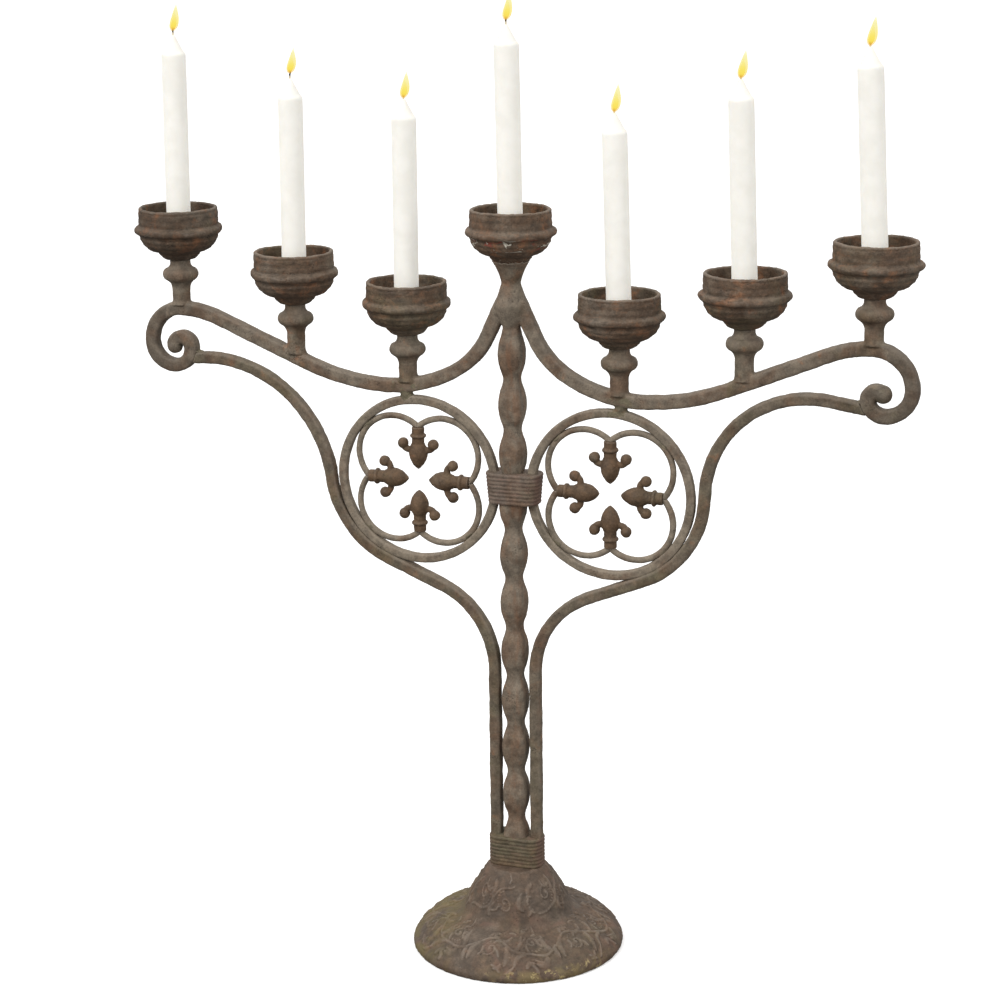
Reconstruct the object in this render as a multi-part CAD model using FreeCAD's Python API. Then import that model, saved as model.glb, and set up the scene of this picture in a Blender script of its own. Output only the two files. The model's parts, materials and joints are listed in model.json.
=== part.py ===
"""Tabletop candelabra of forged and cast iron, with seven candles.

Frame: millimetres, +Z up, +X along the arms, front towards -Y, origin at the
bottom centre of the foot.  Bars are drawn as flat centre lines in the XZ plane
and swept with a rounded square section.  The right-hand side is drawn and the
left-hand side is its mirror image, with a few sizes of its own because the bars
were bent by hand.
"""
import FreeCAD
import Part
import math
import os

V = FreeCAD.Vector
UP = V(0, 0, 1)
ORIGIN = V(0, 0, 0)

# ---------------------------------------------------------------- general
fit_gap = 0.1           # radial play of riveted and screwed fits
weld_bite = 0.5         # how far two bars are forged into each other
rest_gap = 0.2          # air under a candle that rests on a pan

# ---------------------------------------------------------------- foot
foot_height = 78.0
foot_radius = 98.0
foot_neck_radius = 26.0
foot_bell_bulge = 1.6   # the bell's side and the skirt stand out from straight
foot_skirt_bulge = 2.8
foot_waist_radius = 49.0
foot_waist_z = 40.0
foot_skirt_step = 8.5   # the skirt starts this far outside and below the waist
foot_rim_height = 7.0
foot_wall = 5.0

# ---------------------------------------------------------------- stem
stem_above_valley = 58.7 # the stem's top, above the arms' lowest point
stem_lobes = 11
lobe_half = 11.0
pinch_half = 7.0
pinch_half_length = 6.0 # the hollow between two lobes runs this far each way
stem_corner = 1.22      # corners are turned to this many half widths
tenon_radius = 6.0
tenon_length = 30.0
washer_radius = 15.0
washer_thickness = 2.5
nut_across_flats = 19.0
nut_height = 10.0
top_tenon_radius = 4.0
top_tenon_length = 12.0

# ---------------------------------------------------------------- collars
base_collar_height = 28.0
base_collar_depth = 14.0
mid_collar_height = 28.0
mid_collar_top_cover = 5.0      # metal outside the rings, at the top
mid_collar_bottom_cover = 2.6
mid_collar_shift = 1.3  # it was bound on a little to the right
mid_collar_depth = 14.0
collar_wall = 0.8       # metal outside the braces in the base collar
collar_turns = 8
groove_depth = 0.6

# ---------------------------------------------------------------- arms
arm_bar = 12.4
bar_corner = 0.42       # corner radius of every bar, in half widths
arm_valley_x = 118.0
arm_valley_z = 524.8
arm_apex_slope = 65.0
arm_apex_run = 34.0
arm_apex_bend_radius = 75.0
arm_apex_bend = 33.0
arm_inner_radius = 128.0
arm_outer_radius = 208.0
arm_crown_x = 323.0
arm_crown_rise = 59.2
arm_crown_radius = 100.0
# radii of the scroll's four quarter turns, the last bend's turn, the end ball
scroll = {
    "right": dict(quarters=(34.0, 23.5, 14.5, 7.0), end_bend=45.0, ball=8.0),
    "left": dict(quarters=(31.5, 22.5, 17.5, 9.5), end_bend=95.0, ball=7.5),
}
scroll_end_radius = 8.0
brace_end_inset = 8.0   # the brace stops this far inside the scroll's lower turns

# ---------------------------------------------------------------- rings
ring_bar = 8.0
ring_radius = 74.0      # centre line
ring_stem_gap = 2.0
ring_arm_gap = 3.4      # bridged by a weld
arm_weld_radius = 5.6
foil_rod = 5.8
foil_cusp_gap = 21.3    # from the ring's inside to where two lobes meet

# ---------------------------------------------------------------- braces
brace_bar = 10.5
brace_stem_gap = 3.35
brace_bend_below = 173.2        # start of the first bend, below the rings' centres
brace_bend_radius = 82.0
cradle_slack = 6.25     # the cradle's bend is this much wider than the ring
cradle_contact = -66.0  # direction from the ring's centre to the brace's weld
# top of the brace's shoulder, back from and below the arm's crown, and its fall
shoulder = {
    "right": dict(back=51.0, below=46.5, fall=8.5),
    "left": dict(back=28.0, below=45.0, fall=3.0),
}

# ---------------------------------------------------------------- fleurs
fleur_tip = 9.5         # from the ring's centre
fleur_length = 40.2     # natural size; each is scaled to reach its cusp
petal_radius = 8.8      # heights along the fleur are from its tip
petal_belly = 15.5
petal_waist = 24.5
petal_waist_radius = 5.8
fleur_band_radius = 7.6
fleur_band_at = 32.0
fleur_band_width = 3.5
curl_radius = 5.6
curl_tube = 3.0
curl_centre = 24.1
curl_side = 9.4
curl_ball = 5.2

# ---------------------------------------------------------------- candle cups
inner_cup_back = 18.6   # the inner cups stand this far inside the arms' valleys
# the middle cup's place from halfway, and beads above the arm's centre line
cup_places = {
    "right": dict(middle_shift=0.2, rises=(73.5, 77.3, 71.5)),
    "left": dict(middle_shift=-2.6, rises=(74.4, 77.3, 73.5)),
}
centre_cup_rise = 85.8  # bead above the stem's top
bead_radius = 40.0
bead_half_height = 3.8
cup_wall_radius = 36.0
cup_rim_height = 20.3
cup_wall = 3.6
cup_floor = -16.0
cup_bottom = -28.0
cup_bottom_radius = 10.0
cup_step_radius = 21.5
cup_step_z = -20.0
cup_floor_bend = 14.0
neck_radius = 9.3
knob_radius = 16.4
knob_z = -41.5
shank_radius = 8.3
shank_z = -55.0
saddle_depth = 3.0
rivet_radius = 4.5
socket_height = 14.0
socket_wall = 2.5
socket_play = 1.0

# ---------------------------------------------------------------- crown neck
crown_shoulder_radius = 14.6
crown_shoulder_z = 21.0     # above the stem's top
crown_waist_radius = 8.2
crown_waist_z = 40.5
crown_top_radius = 18.5
crown_top_z = -23.0         # from the centre cup's bead

# ---------------------------------------------------------------- candles
candle_radius = 11.0
candle_taper = 18.5
candle_tip_radius = 2.0
candle_lengths = (191.0, 190.0, 197.0, 194.0, 191.0, 198.0, 195.0)
candle_leans = (0.8, 0.6, 0.3, -0.7, -1.4, -1.8, -2.8)
wick_radius = 0.9
wick_above = 6.5
wick_inside = 8.0


# ================================================================ helpers
def at(x, z):
    return V(x, 0, z)


def square_section(half, corner):
    """Rounded square wire about the origin, in the plane across +Z."""
    return rounded_box_wire(half, half, corner, 0.0)


def rounded_box_wire(half_x, half_y, corner, z):
    """Rounded rectangle wire at height z."""
    inner_x = half_x - corner
    inner_y = half_y - corner
    slant = corner * math.sqrt(0.5)
    edges = []
    signs = ((1, 1), (-1, 1), (-1, -1), (1, -1))
    for index, (sx, sy) in enumerate(signs):
        centre = V(sx * inner_x, sy * inner_y, z)
        side = centre + V(sx * corner, 0, 0)
        top = centre + V(0, sy * corner, 0)
        middle = centre + V(sx * slant, sy * slant, 0)
        start, end = (side, top) if index % 2 == 0 else (top, side)
        edges.append(Part.Arc(start, middle, end).toShape())
        nx, ny = signs[(index + 1) % 4]
        if index % 2 == 0:
            following = V(nx * inner_x, ny * (inner_y + corner), z)
        else:
            following = V(nx * (inner_x + corner), ny * inner_y, z)
        if end.distanceToPoint(following) > 1e-6:
            edges.append(Part.makeLine(end, following))
    return Part.Wire(edges)


def outline_edges(steps):
    """Edges through corners (two numbers) and arcs (middle and end)."""
    edges = []
    here = at(steps[0][0], steps[0][1])
    for step in steps[1:]:
        end = at(step[-2], step[-1])
        if len(step) == 4:
            edges.append(Part.Arc(here, at(step[0], step[1]), end).toShape())
        else:
            edges.append(Part.makeLine(here, end))
        here = end
    return edges


def lathe(outline):
    """Solid of revolution about Z.  Two numbers are a corner; four are the
    middle and the end of an arc."""
    edges = outline_edges(outline)
    end = outline[-1]
    edges.append(Part.makeLine(at(end[-2], end[-1]), at(outline[0][0], outline[0][1])))
    face = Part.Face(Part.Wire(edges))
    solid = face.revolve(ORIGIN, UP, 360)
    return Part.Solid(solid) if solid.ShapeType != "Solid" else solid


def tube(outer, inner, bottom, top):
    ring = Part.makeCylinder(outer, top - bottom, V(0, 0, bottom))
    return ring.cut(Part.makeCylinder(inner, top - bottom, V(0, 0, bottom)))


def largest(shape):
    """The biggest solid of a cut's result."""
    return max(shape.Solids, key=lambda solid: solid.Volume)


def mirrored(shape):
    return shape.mirror(ORIGIN, V(1, 0, 0))


class BarPath:
    """A flat centre line in the XZ plane, made of straights and tangent bends."""

    def __init__(self, x, z, heading):
        self.x = x
        self.z = z
        self.heading = heading
        self.start = at(x, z)
        self.first_heading = heading
        self.edges = []
        self.bends = []

    def here(self):
        return at(self.x, self.z)

    def straight(self, length):
        before = self.here()
        self.x += length * math.cos(math.radians(self.heading))
        self.z += length * math.sin(math.radians(self.heading))
        self.edges.append(Part.makeLine(before, self.here()))
        self.bends.append((before, self.here(), None, 0.0))
        return self

    def bend(self, radius, turn):
        """Turn by some degrees, to the left when positive."""
        side = math.copysign(1.0, turn)
        first = math.radians(self.heading)
        centre = self.here() + V(-math.sin(first), 0, math.cos(first)) * radius * side

        def point(share):
            angle = first + math.radians(turn) * share
            return centre + V(math.sin(angle), 0, -math.cos(angle)) * radius * side

        before = self.here()
        after = point(1.0)
        self.edges.append(Part.Arc(before, point(0.5), after).toShape())
        self.bends.append((before, after, centre, radius * side))
        self.x = after.x
        self.z = after.z
        self.heading += turn
        return self

    def turn_to(self, radius, heading):
        return self.bend(radius, heading - self.heading)

    def height_at(self, x):
        """Centre line height where the path first passes x."""
        for before, after, centre, radius in self.bends:
            if before.x - 1e-9 <= x <= after.x + 1e-9:
                if centre is None:
                    share = (x - before.x) / (after.x - before.x)
                    return before.z + share * (after.z - before.z)
                drop = math.sqrt(radius ** 2 - (x - centre.x) ** 2)
                return centre.z - math.copysign(drop, radius)
        raise ValueError("the bar doesn't pass x = %.1f" % x)

    def sweep(self, bar):
        """Solid bar of rounded square section along the path."""
        section = square_section(bar / 2, bar / 2 * bar_corner)
        angle = math.radians(self.first_heading)
        across = FreeCAD.Rotation(UP, V(math.cos(angle), 0, math.sin(angle)))
        section.Placement = FreeCAD.Placement(self.start, across)
        shell = Part.BRepOffsetAPI.MakePipeShell(Part.Wire(self.edges))
        shell.setBiNormalMode(V(0, 1, 0))
        shell.add(section)
        shell.build()
        shell.makeSolid()
        return shell.shape()


def crossing_tangent(centre, radius, turn, other, other_radius):
    """Heading and length of the straight from a bend to an opposite bend."""
    way = other - centre
    reach = math.hypot(way.x, way.z)
    length = math.sqrt(reach ** 2 - (radius + other_radius) ** 2)
    lean = math.atan2(radius + other_radius, length)
    return math.degrees(math.atan2(way.z, way.x) + turn * lean), length


def rod_arc(centre_x, centre_z, radius, rod, first, last):
    """Round rod along an arc in the XZ plane, between two directions."""
    def point(degrees):
        angle = math.radians(degrees)
        return at(centre_x + radius * math.cos(angle), centre_z + radius * math.sin(angle))

    spine = Part.Arc(point(first), point((first + last) / 2), point(last)).toShape()
    angle = math.radians(first)
    tangent = V(-math.sin(angle), 0, math.cos(angle))
    section = Part.Wire([Part.makeCircle(rod / 2, point(first), tangent)])
    return Part.Wire([spine]).makePipeShell([section], True, False)


# ================================================================ stem and foot
stem_foot_z = foot_height
stem_top_z = arm_valley_z + stem_above_valley
brace_foot_x = lobe_half + brace_stem_gap + brace_bar / 2


def make_foot():
    def skin(inset):
        step = foot_skirt_step
        low = -1.0 if inset else 0.0
        neck = (foot_neck_radius - inset, foot_height - inset)
        waist = (foot_waist_radius - inset, foot_waist_z - inset / 2)
        skirt = (waist[0] + step, waist[1] - step)
        rim = (foot_radius - 1.0 - inset, foot_rim_height)
        bell = ((neck[0] + waist[0]) / 2 + foot_bell_bulge, (neck[1] + waist[1]) / 2)
        hollow = (waist[0] + step * 0.36, waist[1] - step * 0.6)
        dome = ((skirt[0] + rim[0]) / 2 + foot_skirt_bulge,
                (skirt[1] + rim[1]) / 2 + foot_skirt_bulge * 1.5)
        outline = [(0, low), (0, neck[1]), neck, bell + waist, hollow + skirt, dome + rim]
        if inset:
            outline.append((rim[0], low))
        else:
            outline.append((foot_radius, foot_rim_height / 2, rim[0], 0))
        return lathe(outline)

    foot = skin(0.0).cut(skin(foot_wall))
    bore = Part.makeCylinder(tenon_radius + fit_gap, foot_height)
    return foot.cut(bore)


def scalloped_edges(scale):
    """Outline of the stem's lobes as arcs, pinch to pinch, from the foot up."""
    pitch = (stem_top_z - stem_foot_z) / stem_lobes
    low = pinch_half * scale
    high = lobe_half * scale
    knee = low + (high - low) * pinch_half_length / (pitch / 2)
    steps = []
    for lobe in range(stem_lobes):
        start = stem_foot_z + lobe * pitch
        first = start + pinch_half_length
        last = start + pitch - pinch_half_length
        if lobe == 0:
            steps.append((low, start))
            steps.append((knee, first))
        else:
            steps.append((low, start, knee, first))
        steps.append((high, start + pitch / 2, knee, last))
    steps.append((low, stem_top_z))
    return steps


def make_stem():
    """Square bar forged into lobes: two scalloped plates and a turned blank."""
    steps = scalloped_edges(1.0)
    right = Part.Wire(outline_edges(steps))
    left = mirrored(right)
    foot_line = Part.makeLine(at(-pinch_half, stem_foot_z), at(pinch_half, stem_foot_z))
    top_line = Part.makeLine(at(-pinch_half, stem_top_z), at(pinch_half, stem_top_z))
    border = Part.Wire(Part.__sortEdges__(right.Edges + left.Edges + [foot_line, top_line]))
    plate = Part.Face(border).extrude(V(0, 4 * lobe_half, 0))
    plate.translate(V(0, -2 * lobe_half, 0))
    side_plate = plate.copy()
    side_plate.rotate(ORIGIN, UP, 90)
    blank = lathe([(0, stem_foot_z)] + scalloped_edges(stem_corner) + [(0, stem_top_z)])
    bar = plate.common(side_plate).common(blank)
    foot_tenon = Part.makeCylinder(tenon_radius, tenon_length, V(0, 0, stem_foot_z - tenon_length))
    top_tenon = Part.makeCylinder(top_tenon_radius, top_tenon_length, V(0, 0, stem_top_z))
    return bar.fuse([foot_tenon, top_tenon])


def make_washer():
    top = foot_height - foot_wall
    return tube(washer_radius, tenon_radius + fit_gap, top - washer_thickness, top)


def make_nut():
    top = foot_height - foot_wall - washer_thickness
    corner = nut_across_flats / math.sqrt(3)
    points = []
    for index in range(7):
        angle = math.radians(60 * index)
        points.append(V(corner * math.cos(angle), corner * math.sin(angle), top - nut_height))
    blank = Part.Face(Part.makePolygon(points)).extrude(V(0, 0, nut_height))
    bore = Part.makeCylinder(tenon_radius + fit_gap, nut_height, V(0, 0, top - nut_height))
    return blank.cut(bore)


def grooved_band(bottom, height, bottom_half, top_half, depth):
    """Band of rounded section with a groove between each two turns."""
    wires = []
    steps = 2 * collar_turns
    for index in range(steps + 1):
        share = index / steps
        half = bottom_half + (top_half - bottom_half) * share
        inset = groove_depth if index % 2 == 0 else 0.0
        corner = (depth - inset) * 0.8
        wires.append(rounded_box_wire(half - inset, depth - inset, corner, bottom + share * height))
    return Part.makeLoft(wires, True, True)


# ================================================================ arms and braces
def s_bend(across, rise, first_radius, second_radius):
    """Slope and straight length of a rise between two level tangents."""
    both = first_radius + second_radius
    length = math.sqrt(across ** 2 + (rise - both) ** 2 - both ** 2)
    slope = math.atan2(rise - both, across) + math.atan2(both, length)
    return math.degrees(slope), length


def arm_path(side):
    """Centre line of one arm, from the crown to the scroll's end."""
    inner_turn = arm_apex_slope - arm_apex_bend
    back = BarPath(arm_valley_x, arm_valley_z, 180.0)
    back.bend(arm_inner_radius, -inner_turn)
    back.bend(arm_apex_bend_radius, -arm_apex_bend)
    back.straight(arm_apex_run)

    whole = BarPath(back.x, back.z, -arm_apex_slope)
    whole.straight(arm_apex_run)
    whole.bend(arm_apex_bend_radius, arm_apex_bend)
    whole.bend(arm_inner_radius, inner_turn)
    slope, length = s_bend(
        arm_crown_x - arm_valley_x, arm_crown_rise, arm_outer_radius, arm_crown_radius)
    whole.bend(arm_outer_radius, slope)
    whole.straight(length)
    whole.bend(arm_crown_radius, -slope)
    for radius in scroll[side]["quarters"]:
        whole.bend(radius, -90.0)
    whole.bend(scroll_end_radius, -scroll[side]["end_bend"])
    return whole


def scroll_heel(side):
    """X of the middle of the scroll's lower turns."""
    first, second = scroll[side]["quarters"][:2]
    return arm_crown_x + first - second - brace_end_inset


def brace_path(side, ring_x, ring_z):
    """Centre line of one brace, from the foot to the scroll."""
    contact = ring_radius + ring_bar / 2 + brace_bar / 2 - weld_bite
    cradle_radius = contact + cradle_slack
    aim = math.radians(cradle_contact)
    cradle = at(ring_x - cradle_slack * math.cos(aim), ring_z - cradle_slack * math.sin(aim))
    brace_bend_z = ring_z - brace_bend_below
    low = at(brace_foot_x + brace_bend_radius, brace_bend_z)

    top = shoulder[side]
    top_x = arm_crown_x - top["back"]
    top_z = arm_valley_z + arm_crown_rise - top["below"]
    across = top_x - cradle.x
    rise = top_z - cradle.z
    bow = (across ** 2 + rise ** 2 - cradle_radius ** 2) / (2 * (rise + cradle_radius))
    upper = at(top_x, top_z - bow)

    first_heading, first_length = crossing_tangent(
        low, brace_bend_radius, -1, cradle, cradle_radius)
    second_heading = math.degrees(math.atan2(upper.z - cradle.z, upper.x - cradle.x)) + 90.0

    path = BarPath(brace_foot_x, stem_foot_z, 90.0)
    path.straight(brace_bend_z - stem_foot_z)
    path.turn_to(brace_bend_radius, first_heading)
    path.straight(first_length)
    path.turn_to(cradle_radius, second_heading)
    path.turn_to(bow, -top["fall"])
    path.straight(scroll_heel(side) - path.x)
    return path


# ================================================================ rings
def make_ring(x, z):
    section = square_section(ring_bar / 2, ring_bar / 2 * bar_corner)
    section.translate(at(x + ring_radius, z))
    return Part.Face(section).revolve(at(x, z), V(0, 1, 0), 360)


def cusp_distance():
    """From the ring's centre to where two lobes meet."""
    return ring_radius - ring_bar / 2 - foil_cusp_gap


def foil_circle():
    """Offset of a lobe's centre along X and Z, and the lobe's radius."""
    far = ring_radius - ring_bar / 2 + weld_bite - foil_rod / 2
    cusp = cusp_distance()
    offset = (far ** 2 - cusp ** 2) / (2 * (far * math.sqrt(2) - cusp))
    return offset, far - offset * math.sqrt(2)


def make_foil(x, z, quarter):
    """One lobe of the quatrefoil, kept inside its own quarter of the ring."""
    offset, radius = foil_circle()
    spread = 135.0
    lobe = rod_arc(x + offset, z + offset, radius, foil_rod, 45 - spread, 45 + spread)
    size = ring_radius
    window = Part.makeBox(size, foil_rod * 2, size, V(x, -foil_rod, z))
    lobe = largest(lobe.common(window))
    lobe.rotate(V(x, 0, z), V(0, -1, 0), 90 * quarter)
    return lobe


def make_fleur(x, z, quarter):
    """Cast fleur that points at the ring's centre, drawn pointing down."""
    band_low = fleur_band_at - fleur_band_width / 2
    band_high = fleur_band_at + fleur_band_width / 2
    stalk = petal_waist_radius
    body = lathe([
        (0, 0),
        (petal_radius * 0.72, petal_belly / 2 - 1.0, petal_radius, petal_belly),
        (petal_radius * 0.9, (petal_belly + petal_waist) / 2, stalk, petal_waist),
        (stalk, band_low),
        (fleur_band_radius, fleur_band_at, stalk, band_high),
        (stalk, fleur_length),
        (0, fleur_length)])
    pieces = [body]
    for side in (-1, 1):
        hook = rod_arc(curl_side, curl_centre, curl_radius, 2 * curl_tube, 175, 365)
        ball = Part.makeSphere(curl_ball, at(curl_side + curl_radius, curl_centre))
        curl = hook.fuse(ball)
        if side < 0:
            curl = mirrored(curl)
        pieces.append(curl)
    fleur = pieces[0].fuse(pieces[1:]).removeSplitter()
    fleur.scale((cusp_distance() - fleur_tip) / fleur_length)
    fleur.translate(at(x, z + fleur_tip))
    fleur.rotate(V(x, 0, z), V(0, -1, 0), 90 * quarter)
    return fleur


def make_arm_weld(x, z):
    """Lump of weld between a ring's top and the arm above it."""
    way = (at(arm_valley_x, arm_valley_z + arm_inner_radius) - at(x, z)).normalize()
    middle = at(x, z) + way * (ring_radius + ring_bar / 2 + ring_arm_gap / 2)
    return Part.makeSphere(arm_weld_radius, middle)


# ================================================================ cups and necks
def cup_line(side):
    """Where the three cups of one arm stand along X."""
    inner = arm_valley_x - inner_cup_back
    halfway = (inner + arm_crown_x) / 2
    return inner, halfway + cup_places[side]["middle_shift"], arm_crown_x


def make_cup(x, bead_z):
    lip = cup_wall_radius - cup_wall
    bowl = lathe([
        (0, cup_bottom),
        (cup_bottom_radius, cup_bottom),
        (cup_step_radius - 6.0, cup_bottom + 2.0, cup_step_radius - 3.0, cup_step_z - 2.5),
        (cup_step_radius, cup_step_z),
        (cup_step_radius + 9.5, cup_step_z + 4.8, cup_wall_radius - 0.5, -8.0),
        (cup_wall_radius + 0.5, -bead_half_height),
        (bead_radius, 0, cup_wall_radius + 0.5, bead_half_height),
        (cup_wall_radius, cup_rim_height - cup_wall / 2),
        (cup_wall_radius - cup_wall / 2, cup_rim_height, lip, cup_rim_height - cup_wall / 2),
        (lip, cup_floor + cup_floor_bend),
        (lip - 4.5, cup_floor + 4.5, lip - cup_floor_bend, cup_floor),
        (0, cup_floor)])
    bowl = bowl.cut(Part.makeCylinder(rivet_radius + fit_gap, 60, V(0, 0, cup_bottom - 20)))
    bowl.translate(at(x, bead_z))
    return bowl


def make_socket(x, bead_z):
    bore = candle_radius + socket_play
    ring = tube(bore + socket_wall, bore, cup_floor, cup_floor + socket_height)
    ring.translate(at(x, bead_z))
    return ring


def make_neck(x, bead_z, seat_z):
    """Turned baluster between an arm and its cup, with the rivet on top."""
    foot_z = seat_z - bead_z
    neck = lathe([
        (0, foot_z),
        (shank_radius + 1.2, foot_z),
        (shank_radius, foot_z + 4.0),
        (shank_radius, shank_z),
        (shank_radius + 1.5, shank_z + 5.0, knob_radius - 2.6, knob_z - 5.0),
        (knob_radius, knob_z, knob_radius - 2.6, knob_z + 5.0),
        (neck_radius + 1.2, knob_z + 7.0, neck_radius, knob_z + 10.5),
        (neck_radius, cup_bottom),
        (rivet_radius, cup_bottom),
        (rivet_radius, cup_floor),
        (0, cup_floor)])
    neck.translate(at(x, bead_z))
    return neck


def make_crown_neck(bead_z):
    """Cone that joins the stem, both arms and the centre cup."""
    foot_z = stem_top_z - bead_z
    shoulder_z = foot_z + crown_shoulder_z
    waist_z = foot_z + crown_waist_z
    middle_z = (foot_z + shoulder_z) / 2
    neck = lathe([
        (0, foot_z),
        (pinch_half, foot_z),
        (pinch_half + 4.6, middle_z, crown_shoulder_radius, shoulder_z),
        (crown_waist_radius + 2.6, waist_z - 8.0, crown_waist_radius, waist_z),
        (crown_waist_radius + 2.2, waist_z + 8.0, crown_top_radius, crown_top_z),
        (rivet_radius, crown_top_z),
        (rivet_radius, cup_floor),
        (0, cup_floor)])
    socket = Part.makeCylinder(top_tenon_radius + fit_gap, top_tenon_length, V(0, 0, foot_z))
    neck = neck.cut(socket)
    neck.translate(at(0, bead_z))
    return neck


# ================================================================ candles
def stand_candle(shape, x, bead_z, lean):
    """Place a candle's piece on its pan, leaning about Y."""
    shape.rotate(ORIGIN, V(0, 1, 0), lean)
    lift = candle_radius * math.sin(math.radians(abs(lean))) + rest_gap
    shape.translate(at(x, bead_z + cup_floor + lift))
    return shape


def make_candle(length):
    shoulder_z = length - candle_taper
    candle = lathe([
        (0, 0),
        (candle_radius, 0),
        (candle_radius, shoulder_z),
        (candle_radius - 0.4, shoulder_z + 2.4, candle_radius - 2.0, shoulder_z + 4.2),
        (candle_radius * 0.42, length - 5.5, candle_tip_radius, length - 0.8),
        (candle_tip_radius * 0.7, length - 0.2, 0, length)])
    return candle.cut(Part.makeCylinder(wick_radius, wick_inside + 1, V(0, 0, length - wick_inside)))


def make_wick(length):
    return Part.makeCylinder(wick_radius, wick_inside + wick_above, V(0, 0, length - wick_inside))


# ================================================================ assembly
def build():
    nodes = {}
    stem = make_stem()
    nodes["stem"] = stem
    nodes["foot"] = make_foot()
    nodes["foot_washer"] = make_washer()
    nodes["foot_nut"] = make_nut()

    ring_x = lobe_half + ring_stem_gap + ring_radius + ring_bar / 2
    reach = arm_inner_radius + arm_bar / 2 + ring_radius + ring_bar / 2 + ring_arm_gap
    arc_centre_z = arm_valley_z + arm_inner_radius
    ring_z = arc_centre_z - math.sqrt(reach ** 2 - (arm_valley_x - ring_x) ** 2)

    centre_bead = stem_top_z + centre_cup_rise
    crown = make_crown_neck(centre_bead)
    centre_cup = make_cup(0, centre_bead)
    crown = largest(crown.cut(centre_cup))
    nodes["crown_neck"] = crown
    nodes["cup_4"] = centre_cup
    sockets = [make_socket(0, centre_bead)]
    stand = {4: (0.0, centre_bead)}

    gripped = [stem]
    braces = []
    for side, sign in (("right", 1), ("left", -1)):
        place = mirrored if sign < 0 else (lambda shape: shape)
        line = arm_path(side)
        arm = line.sweep(arm_bar)
        ball = Part.makeSphere(scroll[side]["ball"], line.here())
        arm = largest(place(arm.fuse(ball)).cut(crown).cut(stem))
        nodes["arm_" + side] = arm

        brace = brace_path(side, ring_x, ring_z).sweep(brace_bar)
        brace = largest(place(brace).cut(arm))
        nodes["brace_" + side] = brace
        braces.append(brace)

        ring = largest(place(make_ring(ring_x, ring_z)).cut(brace))
        nodes["ring_" + side] = ring
        gripped.append(ring)
        weld = place(make_arm_weld(ring_x, ring_z)).cut(arm).cut(ring)
        nodes["arm_weld_" + side] = largest(weld)

        for quarter in range(4):
            fleur = make_fleur(ring_x, ring_z, quarter)
            nodes["fleur_%s_%d" % (side, quarter + 1)] = place(fleur)
        for quarter in range(4):
            foil = place(make_foil(ring_x, ring_z, quarter)).cut(ring)
            for neighbour in range(4):
                foil = foil.cut(nodes["fleur_%s_%d" % (side, neighbour + 1)])
            nodes["foil_%s_%d" % (side, quarter + 1)] = largest(foil)

        for order, x in enumerate(cup_line(side)):
            number = 5 + order if sign > 0 else 3 - order
            bar_z = line.height_at(x)
            bead_z = bar_z + cup_places[side]["rises"][order]
            seat_z = bar_z + arm_bar / 2 - saddle_depth
            cup = make_cup(sign * x, bead_z)
            neck = make_neck(sign * x, bead_z, seat_z)
            nodes["cup_%d" % number] = cup
            nodes["neck_%d" % number] = largest(neck.cut(arm))
            sockets.append(make_socket(sign * x, bead_z))
            stand[number] = (sign * x, bead_z)

    base_half = brace_foot_x + brace_bar / 2 + collar_wall
    base_collar = grooved_band(
        stem_foot_z, base_collar_height, base_half, base_half, base_collar_depth)
    for piece in [stem] + braces:
        base_collar = base_collar.cut(piece)
    nodes["base_collar"] = largest(base_collar)

    ring_edge = lobe_half + ring_stem_gap + ring_bar
    mid_collar = grooved_band(
        ring_z - mid_collar_height / 2, mid_collar_height, ring_edge + mid_collar_bottom_cover,
        ring_edge + mid_collar_top_cover, mid_collar_depth)
    mid_collar.translate(at(mid_collar_shift, 0))
    for piece in gripped:
        mid_collar = mid_collar.cut(piece)
    nodes["middle_collar"] = largest(mid_collar)

    nodes["candle_sockets"] = Part.makeCompound(sockets)
    for number in range(1, 8):
        x, bead_z = stand[number]
        length = candle_lengths[number - 1]
        lean = candle_leans[number - 1]
        nodes["candle_%d" % number] = stand_candle(make_candle(length), x, bead_z, lean)
        nodes["wick_%d" % number] = stand_candle(make_wick(length), x, bead_z, lean)
    return nodes


def write(nodes):
    os.makedirs("parts", exist_ok=True)
    for name, shape in nodes.items():
        if not shape.isValid():
            print("not valid:", name)
        shape.exportStep("parts/%s.step" % name)
    print(len(nodes), "nodes")


write(build())
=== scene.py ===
# %% [markdown]
# # A seven-light candelabra of forged and cast iron
#
# The real object is bent and hammered bar, bound with grooved collars, with cast
# cups, a cast foot and cast fleurs-de-lis, all under an old brown patina. Its
# sizes come from a CAD model that is loaded first. Blender adds what CAD leaves
# out: the hammer marks, the cast relief, the welds, the rust, the wax and the
# flames. Every length here is in metres, in the CAD model's own frame.

# %% Load the CAD model
import json
import math

import bmesh
import bpy
import numpy as np
from mathutils import Matrix, Vector


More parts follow.
